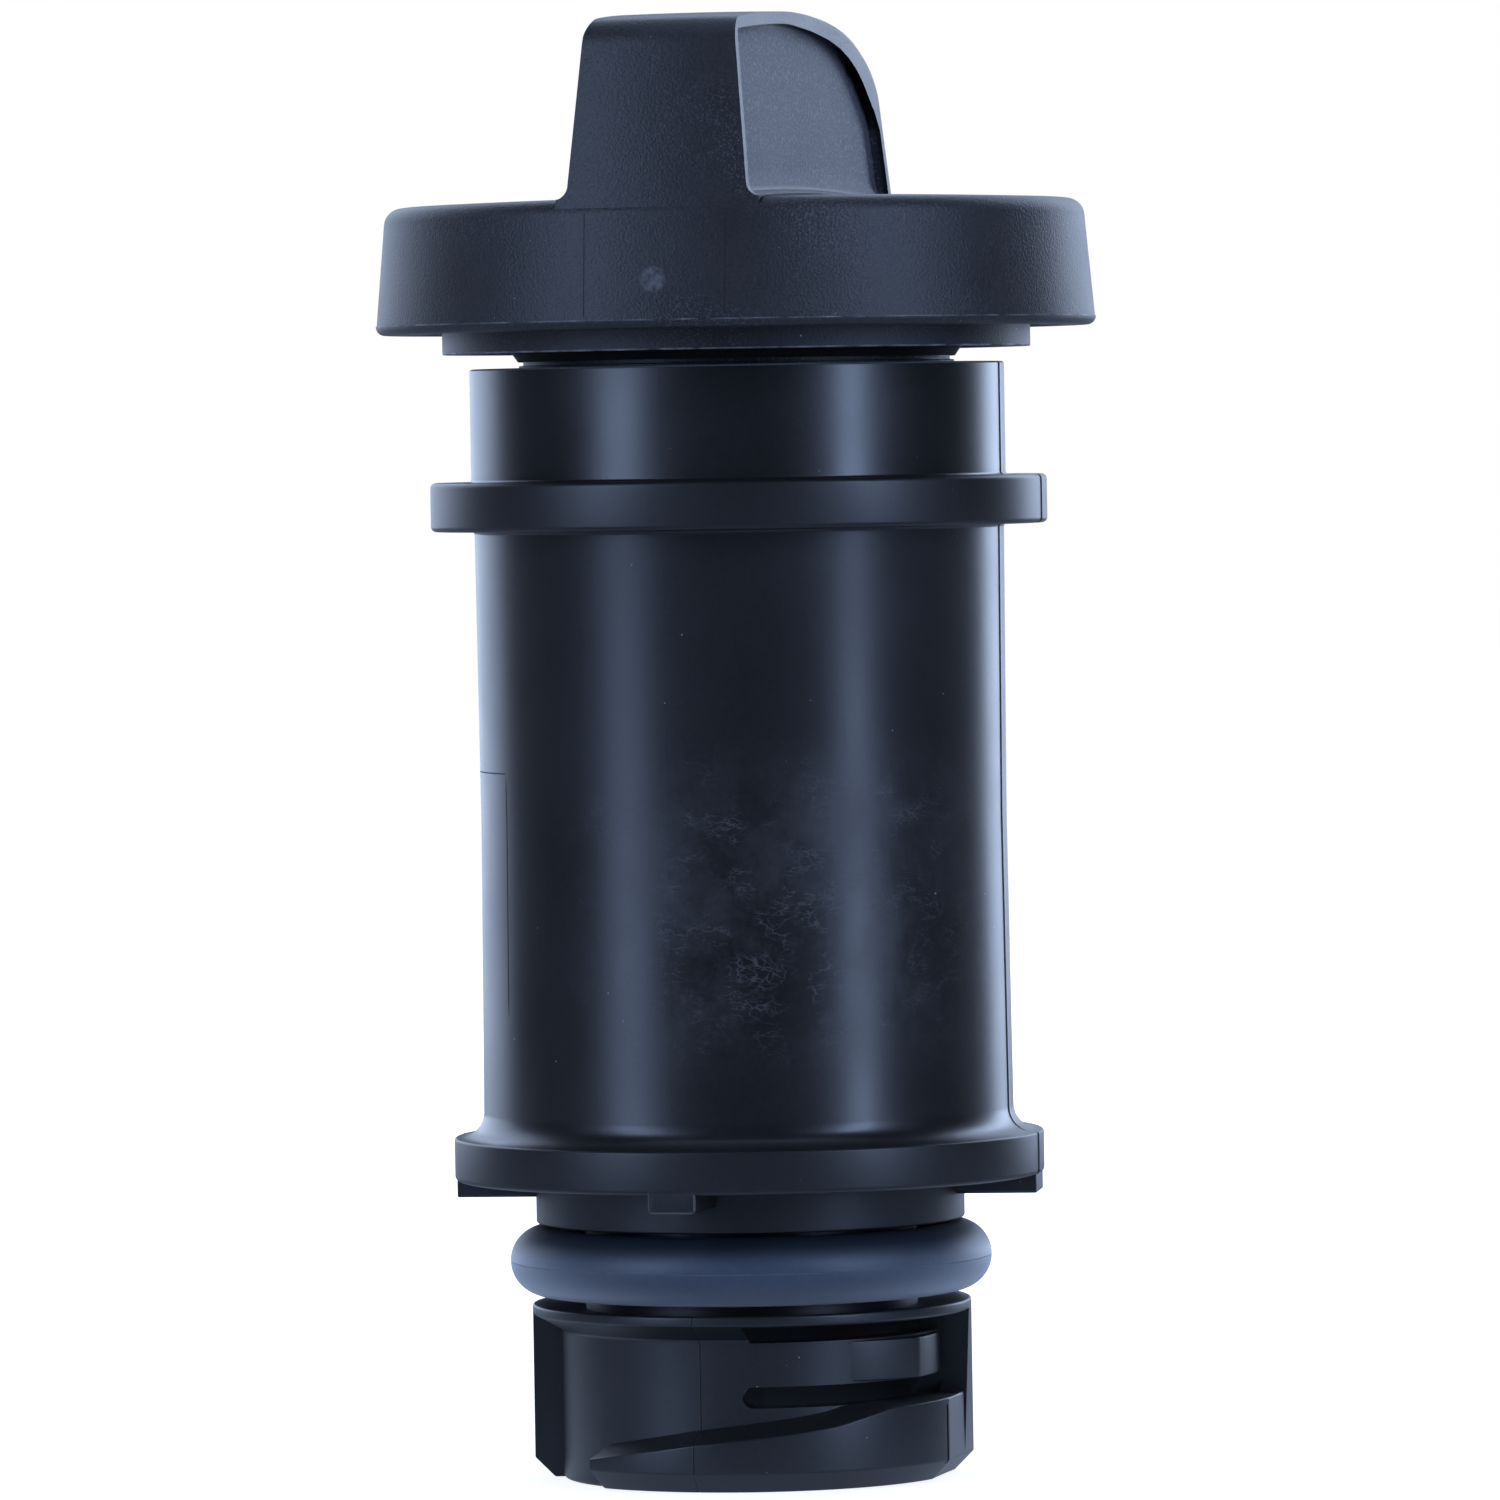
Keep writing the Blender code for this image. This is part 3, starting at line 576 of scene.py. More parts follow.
def groove_mark():
    near, far = FOOT_RADIUS - GROOVE_MARK_DEPTH, FOOT_RADIUS + TOOL_REACH
    return bar(GROOVE_MARK_ANGLE, GROOVE_MARK_WIDTH, near, far, GROOVE_MARK_LOW, GROOVE_MARK_HIGH)


FOOT_STEPS = (
    ("UNION", ramp),
    ("UNION", stop),
    ("DIFFERENCE", lower_slot),
    ("DIFFERENCE", slot_end),
    ("DIFFERENCE", upper_slot),
    ("DIFFERENCE", finger_gap),
    ("UNION", detent),
    ("DIFFERENCE", groove_mark),
)

# Under the lower flange the moulding has a small locating tab in front, a broad rib at each side and
# their twins behind. Inside its mouth two helical ledges with stops hold the cap's lugs.
LOCATOR_LOW = FLANGE_BOTTOM - 1.45 * MM
LOCATOR_HIGH = FLANGE_BOTTOM + 0.5 * MM
LOCATOR_INNER = (SHOULDER_RADIUS + SHOULDER_BORE) / 2
LOCATOR_EDGE = 0.12 * MM
FRONT_TAB_ANGLE = -2.3
FRONT_TAB_WIDTH = 3.8 * MM
FRONT_TAB_REACH = math.sqrt(LOWER_FLANGE**2 - (FRONT_TAB_WIDTH / 2) ** 2)
FRONT_TAB_ROUND = 0.4 * MM
SIDE_RIB_ANGLE = 96
SIDE_RIB_WIDTH = 5.6 * MM
SIDE_RIB_REACH = 23.5 * MM
SIDE_RIB_ROUND = 0.25 * MM
LEDGE_RADIUS = 18.0 * MM
LEDGE_TOP = NECK_TOP - 0.93 * MM
LEDGE_THICKNESS = 2.2 * MM
LEDGE_PITCH = 0.02 * MM
LEDGE_SPAN = 140
LEDGE_THIN_ANGLE = 63
MOUTH_STOP_ANGLE = 92
MOUTH_STOP_SPAN = 6
MOUTH_STOP_DEPTH = 3.4 * MM
BORE_MIDDLE = (BARREL_BORE + BARREL_WAIST) / 2


def ledge():
    low = LEDGE_TOP - LEDGE_THICKNESS
    start = LEDGE_THIN_ANGLE - LEDGE_SPAN
    shape = arc_block(band(LEDGE_RADIUS, BORE_MIDDLE, low, LEDGE_TOP), start, LEDGE_THIN_ANGLE, 2)
    for vert in shape.verts:
        if vert.co.z < LEDGE_TOP - LEDGE_THICKNESS / 2:
            vert.co.z += LEDGE_PITCH * (angle_of(vert.co) - LEDGE_THIN_ANGLE)
    return shape


def mouth_stop():
    end = LEDGE_THIN_ANGLE - MOUTH_STOP_ANGLE
    top = LEDGE_TOP - LEDGE_THICKNESS - LEDGE_PITCH * MOUTH_STOP_ANGLE
    section = band(LEDGE_RADIUS, BORE_MIDDLE, top - MOUTH_STOP_DEPTH, top)
    return arc_block(section, end - MOUTH_STOP_SPAN, end)


neck_tools = [(operation, turned_by(make(), half)) for half in (0, 180) for operation, make in FOOT_STEPS]
for half in (0, 180):
    front_tab = (FRONT_TAB_ANGLE + half, FRONT_TAB_WIDTH, LOCATOR_INNER, FRONT_TAB_REACH)
    side_rib = (SIDE_RIB_ANGLE + half, SIDE_RIB_WIDTH, LOCATOR_INNER, SIDE_RIB_REACH)
    neck_tools += [
        ("UNION", bar(*front_tab, LOCATOR_LOW, LOCATOR_HIGH, FRONT_TAB_ROUND, LOCATOR_EDGE)),
        ("UNION", bar(*side_rib, LOCATOR_LOW, LOCATOR_HIGH, SIDE_RIB_ROUND, LOCATOR_EDGE)),
        ("UNION", turned_by(ledge(), half)),
        ("UNION", turned_by(mouth_stop(), half)),
    ]


def position(tree):
    return add(tree, "ShaderNodeTexCoord").outputs["Object"]


def noise(tree, place, scale, detail, **more):
    """A noise over the part, with its other inputs by name."""
    inputs = {"Vector": place, "Scale": scale, "Detail": detail, **more}
    return add(tree, "ShaderNodeTexNoise", inputs).outputs[0]


def sharpened(tree, value, gain, offset):
    """A value made into a mask: multiplied, shifted and kept from 0 to 1."""
    return math_node(tree, "MULTIPLY_ADD", value, gain, offset, clamp=True)


def new_group(name, inputs=()):
    """A shader node group with its inputs, where a value of four parts is a colour."""
    group = bpy.data.node_groups.new(name, "ShaderNodeTree")
    for socket, value in dict(inputs).items():
        kind = "NodeSocketColor" if isinstance(value, tuple) else "NodeSocketFloat"
        group.interface.new_socket(socket, in_out="INPUT", socket_type=kind).default_value = value
    return group, add(group, "NodeGroupInput").outputs


def with_outputs(group, outputs):
    """The group with these outputs, of which the one named Colour is a colour."""
    for name in outputs:
        kind = "NodeSocketColor" if name == "Colour" else "NodeSocketFloat"
        group.interface.new_socket(name, in_out="OUTPUT", socket_type=kind)
    add(group, "NodeGroupOutput", outputs)
    return group


SKIN_INPUTS = {
    "Colour": (0.02, 0.02, 0.02, 1),
    "Pale Colour": (0.04, 0.04, 0.04, 1),
    "Grain Scale": 3000,
    "Mottle Scale": 120,
    "Roughness": 0.4,
    "Unevenness": 0.1,
}
SKIN_CONTRAST = (3.0, -1.0)


def make_skin_group():
    """A moulded surface: fine grain, soft mottling and slightly uneven gloss."""
    group, given = new_group("Moulded skin", SKIN_INPUTS)
    place = position(group)
    grain = noise(group, place, given["Grain Scale"], 2)
    mottle = noise(group, place, given["Mottle Scale"], 5)
    pale = math_node(group, "MULTIPLY_ADD", grain, 0.5, math_node(group, "MULTIPLY", mottle, 0.5))
    pale = sharpened(group, pale, *SKIN_CONTRAST)
    colour = mixed(group, pale, given["Colour"], given["Pale Colour"])
    centred = math_node(group, "SUBTRACT", mottle, 0.5)
    roughness = sharpened(group, centred, given["Unevenness"], given["Roughness"])
    return with_outputs(group, {"Colour": colour, "Roughness": roughness, "Grain": grain})


def make_place_group():
    """Where a point lies on the part: in millimetres, and in degrees from the front."""
    group, _ = new_group("Place on the part")
    scaling = {0: position(group), "Scale": 1 / MM}
    scaled = add(group, "ShaderNodeVectorMath", scaling, operation="SCALE").outputs[0]
    x, y, z = add(group, "ShaderNodeSeparateXYZ", {0: scaled}).outputs
    squared = math_node(group, "MULTIPLY_ADD", x, x, math_node(group, "MULTIPLY", y, y))
    radius = math_node(group, "SQRT", squared)
    front = math_node(group, "MULTIPLY", y, -1)
    angle = math_node(group, "MULTIPLY", math_node(group, "ARCTAN2", x, front), 180 / math.pi)
    return with_outputs(group, {"X": x, "Y": y, "Z": z, "Radius": radius, "Angle": angle})


def make_span_group():
    """A mask that is 1 where a value lies between two limits, with soft sides."""
    group, given = new_group("Span mask", {"Value": 0.0, "Low": 0.0, "High": 1.0, "Soft": 1.0})
    above = math_node(group, "SUBTRACT", given["Value"], given["Low"])
    below = math_node(group, "SUBTRACT", given["High"], given["Value"])
    inner = math_node(group, "MINIMUM", above, below)
    return with_outputs(group, {"Mask": math_node(group, "DIVIDE", inner, given["Soft"], clamp=True)})


SPECK_PATCHES = (3, -0.7)
SPECK_SOFTNESS = 0.5


def make_speck_group():
    """A mask of small round specks, thinned out by a patchy noise."""
    group, given = new_group("Specks", {"Scale": 400.0, "Size": 0.04, "Patches": 60.0})
    place = position(group)
    cells = add(group, "ShaderNodeTexVoronoi", {"Vector": place, "Scale": given["Scale"]}).outputs["Distance"]
    patches = math_node(group, "MULTIPLY_ADD", noise(group, place, given["Patches"], 3), *SPECK_PATCHES)
    inside = math_node(group, "SUBTRACT", math_node(group, "MULTIPLY", given["Size"], patches), cells)
    soft = math_node(group, "MULTIPLY", given["Size"], SPECK_SOFTNESS)
    return with_outputs(group, {"Mask": math_node(group, "DIVIDE", inside, soft, clamp=True)})


FLECK_CONTRAST = (9, -4.9)
FLECK_PATCH_SCALE = 110
FLECK_PATCHES = (4, -3.9)


def make_fleck_group():
    """A mask of fine light flecks, the raised grain of a dry moulded surface, in patches or all over."""
    group, given = new_group("Flecks", {"Scale": 5000.0, "Cover": 0.5})
    place = position(group)
    grains = sharpened(group, noise(group, place, given["Scale"], 1), *FLECK_CONTRAST)
    cover = math_node(group, "ADD", noise(group, place, FLECK_PATCH_SCALE, 4), given["Cover"])
    patches = sharpened(group, cover, *FLECK_PATCHES)
    return with_outputs(group, {"Mask": math_node(group, "MULTIPLY", grains, patches)})


# Scratches come in three sizes, by their scale, bend, middle value and width
SCRATCH_SIZES = ((1.6, 0.4, 0.5, 0.007), (3.1, 0.6, 0.52, 0.010), (5.3, 0.3, 0.47, 0.016))
SCRATCH_STRETCH = (1, 1, 2.2)
SCRATCH_BREAK_SCALE = 330
SCRATCH_BREAKS = (8, -3.7)
HAZE_CONTRAST = (5, -2.2)


def make_scuff_group():
    """Fine curved scratches and a patchy haze from handling."""
    group, given = new_group("Scuffs", {"Scale": 90.0})
    place = position(group)
    flat = add(group, "ShaderNodeMapping", {"Vector": place, "Scale": SCRATCH_STRETCH}).outputs[0]
    scratches = 0.0
    for factor, bend, middle, width in SCRATCH_SIZES:
        scale = math_node(group, "MULTIPLY", given["Scale"], factor)
        field = noise(group, flat, scale, 3, Distortion=bend)
        off = math_node(group, "ABSOLUTE", math_node(group, "SUBTRACT", field, middle))
        scratches = math_node(group, "MAXIMUM", scratches, sharpened(group, off, -1 / width, 1))
    breaks = sharpened(group, noise(group, place, SCRATCH_BREAK_SCALE, 5), *SCRATCH_BREAKS)
    haze = sharpened(group, noise(group, place, given["Scale"], 9, Roughness=0.75), *HAZE_CONTRAST)
    return with_outputs(group, {"Scratches": math_node(group, "MULTIPLY", scratches, breaks), "Haze": haze})


skin_group = make_skin_group()
place_group = make_place_group()
span_group = make_span_group()
speck_group = make_speck_group()
scuff_group = make_scuff_group()
fleck_group = make_fleck_group()
SHEEN_TINT = (0.77, 0.85, 1.0)


def placed(tree):
    return add(tree, "ShaderNodeGroup", node_tree=place_group).outputs


def span(tree, value, low, high, soft):
    limits = {"Value": value, "Low": low, "High": high, "Soft": soft}
    return add(tree, "ShaderNodeGroup", limits, node_tree=span_group).outputs[0]


def both(tree, *masks):
    """Where all the masks are 1."""
    joined = masks[0]
    for mask in masks[1:]:
        joined = math_node(tree, "MULTIPLY", joined, mask)
    return joined


def region(tree, place, area):
    """A part of the surface, by its (low, high, soft) limits along each axis, in millimetres or degrees."""
    return both(tree, *[span(tree, place[axis], *limits) for axis, limits in area.items()])


def specks(tree, scale, size, patches):
    inputs = {"Scale": scale, "Size": size, "Patches": patches}
    return add(tree, "ShaderNodeGroup", inputs, node_tree=speck_group).outputs[0]


def flecks(tree, scale, cover):
    return add(tree, "ShaderNodeGroup", {"Scale": scale, "Cover": cover}, node_tree=fleck_group).outputs[0]


def moulded_material(name, colour, pale, roughness, grain_scale, grain_depth, layers=None):
    """A Principled material with the moulded skin. Its grain also feeds a bump.

    The layers function is given the tree and where a point lies, and yields (mask, (colour, roughness)).
    """
    material = bpy.data.materials.new(name)
    material.use_nodes = True
    tree = material.node_tree
    skin_inputs = {
        "Colour": (*colour, 1),
        "Pale Colour": (*pale, 1),
        "Grain Scale": grain_scale,
        "Roughness": roughness,
    }
    skin = add(tree, "ShaderNodeGroup", skin_inputs, node_tree=skin_group).outputs
    top_colour, top_roughness = skin["Colour"], skin["Roughness"]
    for mask, (layer_colour, layer_roughness) in layers(tree, placed(tree)) if layers else ():
        if layer_colour:
            top_colour = mixed(tree, mask, top_colour, (*layer_colour, 1))
        if layer_roughness:
            rise = math_node(tree, "SUBTRACT", layer_roughness, top_roughness)
            top_roughness = math_node(tree, "MULTIPLY_ADD", mask, rise, top_roughness)
    relief = {"Height": skin["Grain"], "Strength": 1.0, "Distance": grain_depth}
    shader = tree.nodes["Principled BSDF"]
    tree.links.new(top_colour, shader.inputs["Base Color"])
    tree.links.new(top_roughness, shader.inputs["Roughness"])
    tree.links.new(add(tree, "ShaderNodeBump", relief).outputs[0], shader.inputs["Normal"])
    shader.inputs["Specular Tint"].default_value = (*SHEEN_TINT, 1)
    return material


# Where the neck's skin changes, and the finish there
POLISHED_AREA = {"Radius": (20.6, 22.3, 0.2), "Z": (27.9, 92, 0.4)}
ROUGH_FINISH = (None, 0.42)
WORN_AREA = {"Angle": (-32, 84, 40), "Z": (33, 60, 6)}
HAZE_FINISH = ((0.026, 0.027, 0.032), 0.42)
SCRATCH_FINISH = ((0.042, 0.045, 0.053), 0.5)
INSERT_SIDE_AREA = {"Angle": (-50.6, -50.0, 0.08), "Z": (37.4, 57.2, 1.5)}
INSERT_TOP_AREA = {"Angle": (-80, -50.2, 1), "Z": (57.1, 57.25, 0.06)}
INSERT_FINISH = ((0.001, 0.001, 0.001), 0.7)
COLLAR_FLASH_AREA = {"Radius": (21.3, 22, 0.05), "Z": (NECK_TOP / MM - 0.16, 99, 0.05)}
COLLAR_FLASH_FINISH = ((0.10, 0.11, 0.13), 0.4)
FRONT_TAB_AREA = {"Radius": (23.3, 24.1, 0.1), "Z": (22.5, 24.3, 0.1)}
FRONT_TAB_ANGLES = (-1, 4.75, 0.1)
# Painted highlight along the front tab's side and bottom edges
TAB_EDGE_HIGHLIGHT_ANGLES = (4.35, 4.75, 0.1)
TAB_EDGE_HIGHLIGHT_HEIGHTS = (22.5, 22.9, 0.1)
TAB_EDGE_HIGHLIGHT_FINISH = ((0.075, 0.082, 0.098), 0.5)
NECK_DUST = (470, 0.034, 50)
DUST_FINISH = ((0.24, 0.25, 0.28), 0.6)


def neck_layers(tree, place):
    """Rough flanges and foot, a scuffed barrel, the outline of a mould insert, flash, a painted highlight on
    the front tab's edges and dust specks.
    """
    polished = region(tree, place, POLISHED_AREA)
    yield math_node(tree, "SUBTRACT", 1, polished), ROUGH_FINISH
    scuffs = add(tree, "ShaderNodeGroup", node_tree=scuff_group).outputs
    worn = both(tree, region(tree, place, WORN_AREA), polished)
    yield both(tree, worn, scuffs["Haze"]), HAZE_FINISH
    yield both(tree, worn, scuffs["Scratches"]), SCRATCH_FINISH
    insert_sides = [region(tree, place, area) for area in (INSERT_SIDE_AREA, INSERT_TOP_AREA)]
    yield math_node(tree, "MAXIMUM", *insert_sides), INSERT_FINISH
    yield region(tree, place, COLLAR_FLASH_AREA), COLLAR_FLASH_FINISH
    # A painted highlight along the front tab's side and bottom edges
    off = math_node(tree, "ABSOLUTE", math_node(tree, "SUBTRACT", place["Angle"], FRONT_TAB_ANGLE))
    edges = span(tree, off, *TAB_EDGE_HIGHLIGHT_ANGLES), span(tree, place["Z"], *TAB_EDGE_HIGHLIGHT_HEIGHTS)
    front_tab = both(tree, region(tree, place, FRONT_TAB_AREA), span(tree, off, *FRONT_TAB_ANGLES))
    yield both(tree, math_node(tree, "MAXIMUM", *edges), front_tab), TAB_EDGE_HIGHLIGHT_FINISH
    yield specks(tree, *NECK_DUST), DUST_FINISH


neck_plastic = moulded_material(
    "Neck plastic",
    colour=(0.0060, 0.0061, 0.0072),
    pale=(0.0105, 0.0107, 0.0125),
    roughness=0.325,
    grain_scale=2600,
    grain_depth=0.004 * MM,
    layers=neck_layers,
)
neck = combined("moulded_neck", neck, neck_tools)
for side in (FOOT_SEAM_ANGLE, FOOT_SEAM_ANGLE + 180):
    raise_seam(neck, side, -TOOL_REACH, FOOT_HEIGHT + TOOL_REACH, FOOT_SEAM_INSIDE, -FOOT_SEAM_DEPTH)
finished("moulded_neck", neck, "neck", "filler_neck", neck_plastic)

# The seal ring sits in the neck's groove. It is moulded blue-grey rubber, with a fine line round its
# outside where its mould parted.
ORING_SECTION = 5.5 * MM
ORING_OUTER = 19.44 * MM
ORING_LINE = 0.08 * MM
ORING_SECTION_STEPS = 64
oring_middle = (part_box("neck_o_ring")[0][2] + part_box("neck_o_ring")[1][2]) / 2
ring = bmesh.new()
across = Matrix.Translation((ORING_OUTER - ORING_SECTION / 2, 0, oring_middle))
section_place = across @ Matrix.Rotation(math.pi / 2, 4, "X")
bmesh.ops.create_circle(ring, segments=ORING_SECTION_STEPS, radius=ORING_SECTION / 2, matrix=section_place)
outermost = max(ring.verts, key=lambda vert: vert.co.x)
rounded(ring, [outermost], ORING_LINE / 2, segments=2, affect="VERTICES")
for vert in ring.verts:
    if abs(vert.co.z - oring_middle) < WELD and vert.co.x > ORING_OUTER - MARGIN:
        vert.co.x -= ORING_LINE

# Where the ring's colour carries painted sheen and painted shade, and the finish there
PAINTED_SHEEN_POWER = 2.0
PAINTED_SHEEN_AREA = {"Z": (0, oring_middle / MM + 1.6, 1.4)}
PAINTED_SHEEN_FINISH = ((0.50, 0.56, 0.66), None)
RING_TOP_SHADE_AREA = {"Z": (oring_middle / MM + 0.7, oring_middle / MM + 9, 1.3)}
RING_TOP_SHADE_FINISH = ((0.010, 0.015, 0.028), 0.55)


def ring_layers(tree, place):
    """Painted sheen, pale where the sides turn away from the view on the lower half, and painted shade on the
    top.
    """
    # Painted sheen: pale where the sides turn away from the view, only on the lower half, where light comes
    # up from the floor
    facing = add(tree, "ShaderNodeLayerWeight", {"Blend": 0.5}).outputs["Facing"]
    painted_sheen = math_node(tree, "POWER", facing, PAINTED_SHEEN_POWER)
    yield both(tree, painted_sheen, region(tree, place, PAINTED_SHEEN_AREA)), PAINTED_SHEEN_FINISH
    # Painted shade on the ring's top, under the flange
    yield region(tree, place, RING_TOP_SHADE_AREA), RING_TOP_SHADE_FINISH


ring_rubber = moulded_material(
    "Seal ring rubber",
    colour=(0.034, 0.047, 0.080),
    pale=(0.046, 0.062, 0.098),
    roughness=0.5,
    grain_scale=1800,
    grain_depth=0.004 * MM,
    layers=ring_layers,
)
finished("seal_ring", spun(ring, 360, STEPS), "neck", "neck_o_ring", ring_rubber)

# The cap's gasket is a black rubber flange under the skirt, with a lip round the stem.
GASKET_INNER = 17.5 * MM
GASKET_OUTER = 21.6 * MM
GASKET_TOP = 92.8 * MM
GASKET_BOTTOM = 91.3 * MM
LIP_RADIUS = 18.0 * MM
LIP_EDGE_RADIUS = 17.62 * MM
LIP_DROP = 0.7 * MM
LIP_HEIGHT = 0.55 * MM
gasket = turned([
    (GASKET_OUTER, GASKET_TOP, 0.2 * MM),
    (GASKET_OUTER, GASKET_BOTTOM, 0.2 * MM),
    (LIP_RADIUS + LIP_DROP, GASKET_BOTTOM, 0.15 * MM),
    (LIP_RADIUS, GASKET_BOTTOM - LIP_DROP, 0.15 * MM),
    (LIP_EDGE_RADIUS, GASKET_BOTTOM - LIP_DROP - LIP_HEIGHT, 0.03 * MM),
    (GASKET_INNER, GASKET_BOTTOM - LIP_DROP - LIP_HEIGHT, 0),
    (GASKET_INNER, GASKET_TOP, 0),
])
gasket_rubber = moulded_material(
    "Gasket rubber",
    colour=(0.010, 0.010, 0.011),
    pale=(0.018, 0.018, 0.019),
    roughness=0.6,
    grain_scale=2200,
    grain_depth=0.006 * MM,
)
finished("lip_gasket", gasket, "seal", "cap_gasket", gasket_rubber)

# The cap is the other black moulding: a disc with a thumb tab across it, a skirt over the neck's
# collar, a cored underside with ribs, and a hollow stem with two lugs.
DISC_RADIUS = 29.0 * MM
DISC_TOP_RADIUS = 28.1 * MM
DISC_CROWN = 0.6 * MM
DISC_ROUND = 1.2 * MM
DISC_BOTTOM = 92.36 * MM
DISC_TOP = 102.5 * MM
DISC_SHOULDER = DISC_TOP - DISC_ROUND
DISC_EDGE = 93.1 * MM
CEILING = 99.9 * MM
DISC_WALL = 2.3 * MM
DISC_CORE_DRAFT = 0.4 * MM
SKIRT_INNER = 21.9 * MM
SKIRT_OUTER = 23.7 * MM
SKIRT_BOTTOM = 90.72 * MM
STEM_RADIUS = 17.55 * MM
STEM_BORE = 15.5 * MM
STEM_BOTTOM = 80.02 * MM
SEAT_RADIUS = 17.2 * MM
SEAT_BOTTOM = 89.75 * MM
SEAL_CORE_WIDTH = 2.0 * MM
DISC_CROWN_STEPS = 12
DISC_RIBS = 16
DISC_RIB_WIDTH = 1.4 * MM
DISC_RIB_START = SKIRT_OUTER - 0.9 * MM
DISC_RIB_END = DISC_RADIUS - DISC_WALL / 2
DISC_RIB_BOTTOM = DISC_BOTTOM + 0.8 * MM
LUG_SPAN = 30
LUG_REST_ANGLE = 60
LUG_REACH = BARREL_BORE - 0.3 * MM
LUG_BOTTOM = 83.0 * MM
LUG_TOP = 86.0 * MM
LUG_ROUND = 0.25 * MM


def disc_crown(radius):
    return DISC_CROWN * (1 - (radius / DISC_TOP_RADIUS) ** 2)


flat_radius = DISC_TOP_RADIUS - DISC_ROUND
crown_radii = [flat_radius * i / DISC_CROWN_STEPS for i in range(DISC_CROWN_STEPS)]
disc_top = [(radius, DISC_TOP + disc_crown(radius), 0) for radius in crown_radii]
core_inner = SEAT_RADIUS + SEAL_CORE_WIDTH
core_outer = core_inner + SEAL_CORE_WIDTH
cap = turned(
    disc_top
    + [
        (DISC_TOP_RADIUS, DISC_TOP, DISC_ROUND),
        (DISC_RADIUS - 0.05 * MM, DISC_EDGE, 0),
        (DISC_RADIUS + 0.03 * MM, DISC_EDGE, 0),
        (DISC_RADIUS, DISC_BOTTOM, 0.7 * MM),
        (DISC_RADIUS - DISC_WALL, DISC_BOTTOM, 0.15 * MM),
        (DISC_RADIUS - DISC_WALL - DISC_CORE_DRAFT, CEILING, 0.4 * MM),
        (SKIRT_OUTER + DISC_CORE_DRAFT, CEILING, 0.4 * MM),
        (SKIRT_OUTER, DISC_BOTTOM, 0),
        (SKIRT_OUTER, SKIRT_BOTTOM, 0.12 * MM),
        (SKIRT_INNER, SKIRT_BOTTOM, 0.12 * MM),
        (SKIRT_INNER, DISC_EDGE, 0),
        (core_outer, DISC_EDGE, 0.1 * MM),
        (core_outer, CEILING, 0.3 * MM),
        (core_inner, CEILING, 0.3 * MM),
        (core_inner, DISC_EDGE, 0.1 * MM),
        (SEAT_RADIUS, DISC_EDGE, 0),
        (SEAT_RADIUS, SEAT_BOTTOM, 0),
        (STEM_RADIUS, SEAT_BOTTOM, 0.1 * MM),
        (STEM_RADIUS, STEM_BOTTOM, 0.3 * MM),
        (STEM_BORE, STEM_BOTTOM, 0.3 * MM),
        (STEM_BORE, CEILING, 0.5 * MM),
        (0, CEILING, 0),
    ],
    closed=False,
)

# The thumb tab stands across the disc. Its ends follow the disc's side, its top is crowned, and each
# side is sunk to a pocket for the fingers, with a rim round it.
TAB_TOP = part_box("cap_body")[1][2]
TAB_BASE_WIDTH = 14.56 * MM
TAB_DRAFT = 5
TAB_END_DRAFT = 8.5
TAB_CORNER = 2.6 * MM
POCKET_CORNER = 0.6 * MM
TAB_CROWN = 1.0 * MM
TAB_FILLET = 1.2 * MM
# The far right and near left upper corners are soft. Each row is a distance along the tab, and how wide
# and how deep the corner is cut there.
FAR_CORNER = (
    (-10 * MM, 0.1 * MM, 0.01 * MM),
    (-4 * MM, 0.5 * MM, 0.12 * MM),
    (4 * MM, 1.2 * MM, 0.45 * MM),
    (10 * MM, 1.9 * MM, 0.85 * MM),
    (14 * MM, 2.5 * MM, 1.3 * MM),
    (17 * MM, 3.0 * MM, 1.9 * MM),
    (19.5 * MM, 3.5 * MM, 2.7 * MM),
    (21.5 * MM, 3.9 * MM, 3.7 * MM),
    (23.5 * MM, 4.2 * MM, 5.2 * MM),
    (25 * MM, 4.4 * MM, 6.9 * MM),
    (31 * MM, 4.8 * MM, 15.0 * MM),
)
NEAR_CORNER = (
    (12 * MM, 0.1 * MM, 0.05 * MM),
    (18 * MM, 0.6 * MM, 0.25 * MM),
    (21 * MM, 1.0 * MM, 0.6 * MM),
    (23 * MM, 1.5 * MM, 1.2 * MM),
    (25 * MM, 2.0 * MM, 2.2 * MM),
    (31 * MM, 2.4 * MM, 7.0 * MM),
)
CORNER_CLEARANCE = 3 * MM
CORNER_SLICES = 60
CORNER_STEPS = 12
CROWN_STEPS = 14
FLARE_STEPS = 8
BAR_CUTS = 39
DOME_SETBACK = 1.5 * MM
POCKET_DEPTH = 1.05 * MM
POCKET_RIM = 1.0 * MM
POCKET_WIDER = 5 * MM
POCKET_FILLET = POCKET_DEPTH + TAB_FILLET
TAB_CORE_WIDTH = 6.4 * MM
TAB_CORE_LENGTH = 27.0 * MM
TAB_CORE_TOP = TAB_TOP - TAB_CROWN - 3.0 * MM
TAB_CORE_ROUND = 0.5 * MM


def dome(inset, corner, bottom):
    """The tab's outline from the side, turned about the axis."""
    draft = math.radians(TAB_END_DRAFT)
    top = TAB_TOP - inset
    end = DISC_TOP_RADIUS - inset
    corner_height = top - TAB_CROWN - corner
    crown_end = end - (corner_height - DISC_SHOULDER) * math.tan(draft) - corner / math.cos(draft)
    slope = math.atan(2 * TAB_CROWN / crown_end)
    points = []
    for i in range(CROWN_STEPS):
        points.append((crown_end * i / CROWN_STEPS, top - TAB_CROWN * (i / CROWN_STEPS) ** 2, 0))
    for i in range(CORNER_STEPS + 1):
        around = math.pi / 2 - slope + (draft - math.pi / 2 + slope) * i / CORNER_STEPS
        points.append((crown_end + corner * math.cos(around), corner_height + corner * math.sin(around), 0))
    points += [(end, DISC_SHOULDER, 0), (end - DOME_SETBACK, bottom, 0), (0, bottom, 0)]
    return turned(points, closed=False)


